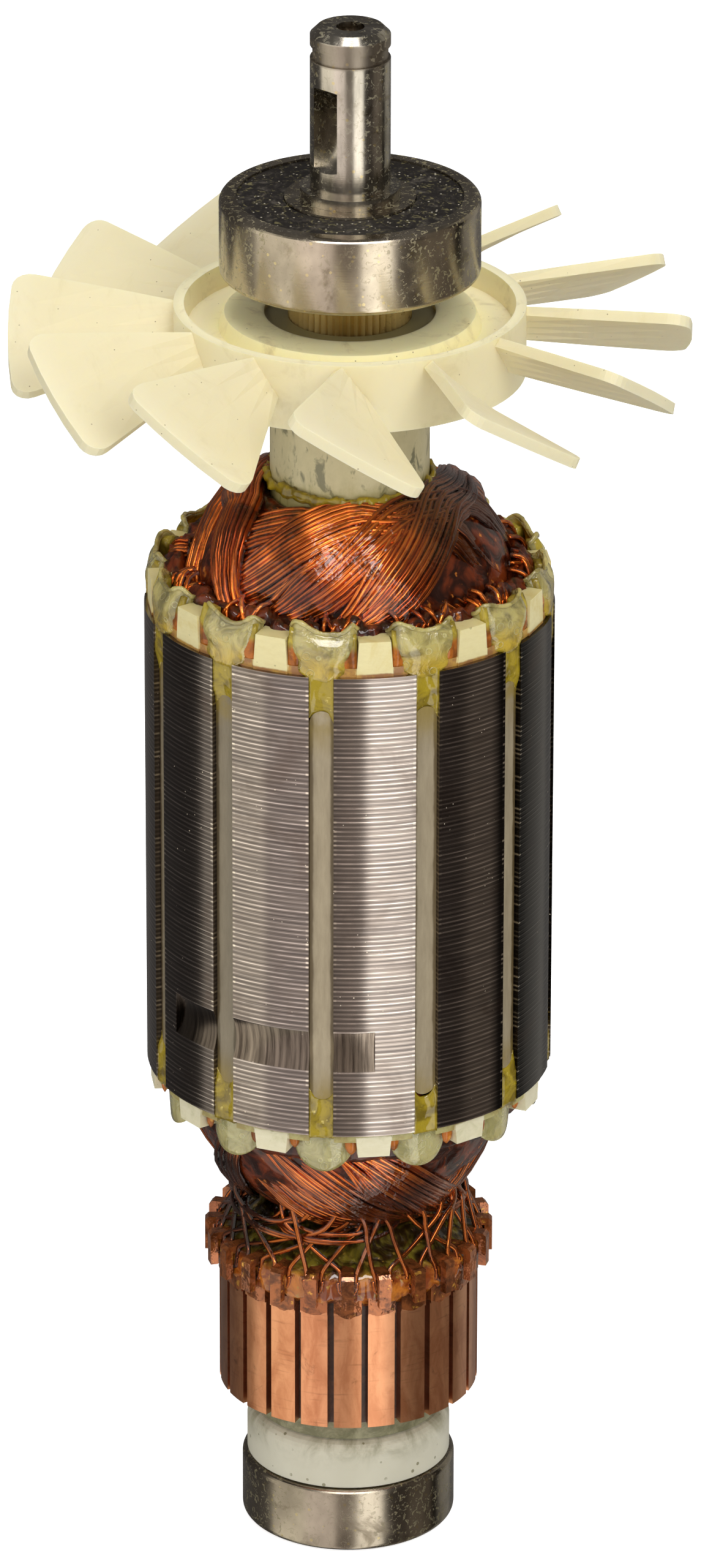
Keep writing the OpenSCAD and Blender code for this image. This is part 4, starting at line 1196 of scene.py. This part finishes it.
# ------------ stage
def stage_floor():
    half = 6.0
    corners = [(x * half, y * half, -0.0002) for x, y in ((-1, -1), (1, -1), (1, 1), (-1, 1))]
    me = bpy.data.meshes.new("floor")
    me.from_pydata(corners, [], [(0, 1, 2, 3)])
    o = put_object("floor", me)
    m = Nodes("floor")
    m.set(Base_Color=(0.8, 0.8, 0.8), Roughness=0.9, Specular_IOR_Level=0.0)
    plain = m.bsdf.outputs[0]
    glow = m.node("Emission", Color=(1, 1, 1), Strength=0.72).outputs[0]
    bright = m.node("AddShader", _0=plain, _1=glow).outputs[0]
    m.put(m.out.inputs[0], m.blend(m.node("LightPath").outputs["Is Camera Ray"], plain, bright))
    me.materials.append(m.mat)
    o.visible_glossy = False


stage_floor()


def world():
    """White to the camera; to glossy rays, a studio of tall soft boxes."""
    w = bpy.data.worlds.new("studio")
    bpy.context.scene.world = w
    w.use_nodes = True
    g = Graph(w.node_tree, "Generated")
    az = g.azimuth()
    el = g.mul(g.math("ARCSINE", g.xyz()[2]), 180 / math.pi)
    low = g.band(el, -95, 40, 4)
    # From and to in degrees, strength, softness and colour
    strips = [
        (10, 38, 2.4, 1.5, (1.0, 0.97, 0.92)),
        (-48, -14, 1.36, 2.0, (1.0, 0.91, 0.87)),
        (-91, -48, 1.3, 3.0, (1.0, 0.95, 0.84)),
        (-14, 10, 0.40, 2.0, (1.0, 0.87, 0.78)),
        (38, 70, 0.09, 3.0, (1.0, 0.85, 0.75)),
        (70, 104, 0.24, 3.0, (1.0, 0.86, 0.72)),
        (116, 146, 0.46, 3.0, (1.0, 0.95, 0.84)),
        (146, 181, 0.16, 4.0, (1.0, 0.95, 0.90)),
        (-181, -91, 0.11, 5.0, (1.0, 0.93, 0.88)),
    ]
    parts = [(g.mul(g.mul(g.band(az, a, b, soft), low), power), c) for a, b, power, soft, c in strips]
    box = g.mul(g.band(el, 48, 68, 1), g.band(az, -34, 42, 2))
    parts.append((g.mul(box, 12.0), (1.0, 0.97, 0.96)))
    parts.append((g.mul(g.band(el, 40, 95, 4), 0.14), (1.0, 0.95, 0.9)))
    total = None
    for power, colour in parts:
        part = g.node("VectorMath", "SCALE", _0=colour, Scale=power).outputs[0]
        total = part if total is None else g.node("VectorMath", "ADD", _0=total, _1=part).outputs[0]
    ray = g.node("LightPath").outputs
    shine = g.node("Background", _0=total).outputs[0]
    plain = g.node("Background", _0=(1, 1, 1), _1=0.55).outputs[0]
    white = g.node("Background", _0=(1, 1, 1), _1=1.0).outputs[0]
    unseen = g.blend(g.max(ray["Is Glossy Ray"], ray["Is Transmission Ray"]), plain, shine)
    g.node("OutputWorld", _0=g.blend(ray["Is Camera Ray"], unseen, white))


world()


def lamp(name, at, size, power):
    d = bpy.data.lights.new(name, "AREA")
    d.shape = "RECTANGLE"
    d.size, d.size_y = size
    d.energy = power
    o = put_object(name, d)
    o.location = at
    o.rotation_euler = (Vector((0, 0, 0.08)) - Vector(at)).to_track_quat("-Z", "Y").to_euler()
    o.visible_glossy = False


lamp("key", (0.55, -1.1, 0.95), (0.6, 0.9), 9)
lamp("fill", (-1.0, -0.7, 0.5), (0.6, 1.0), 3)
lamp("top", (0, 0.1, 1.3), (0.8, 0.8), 6)
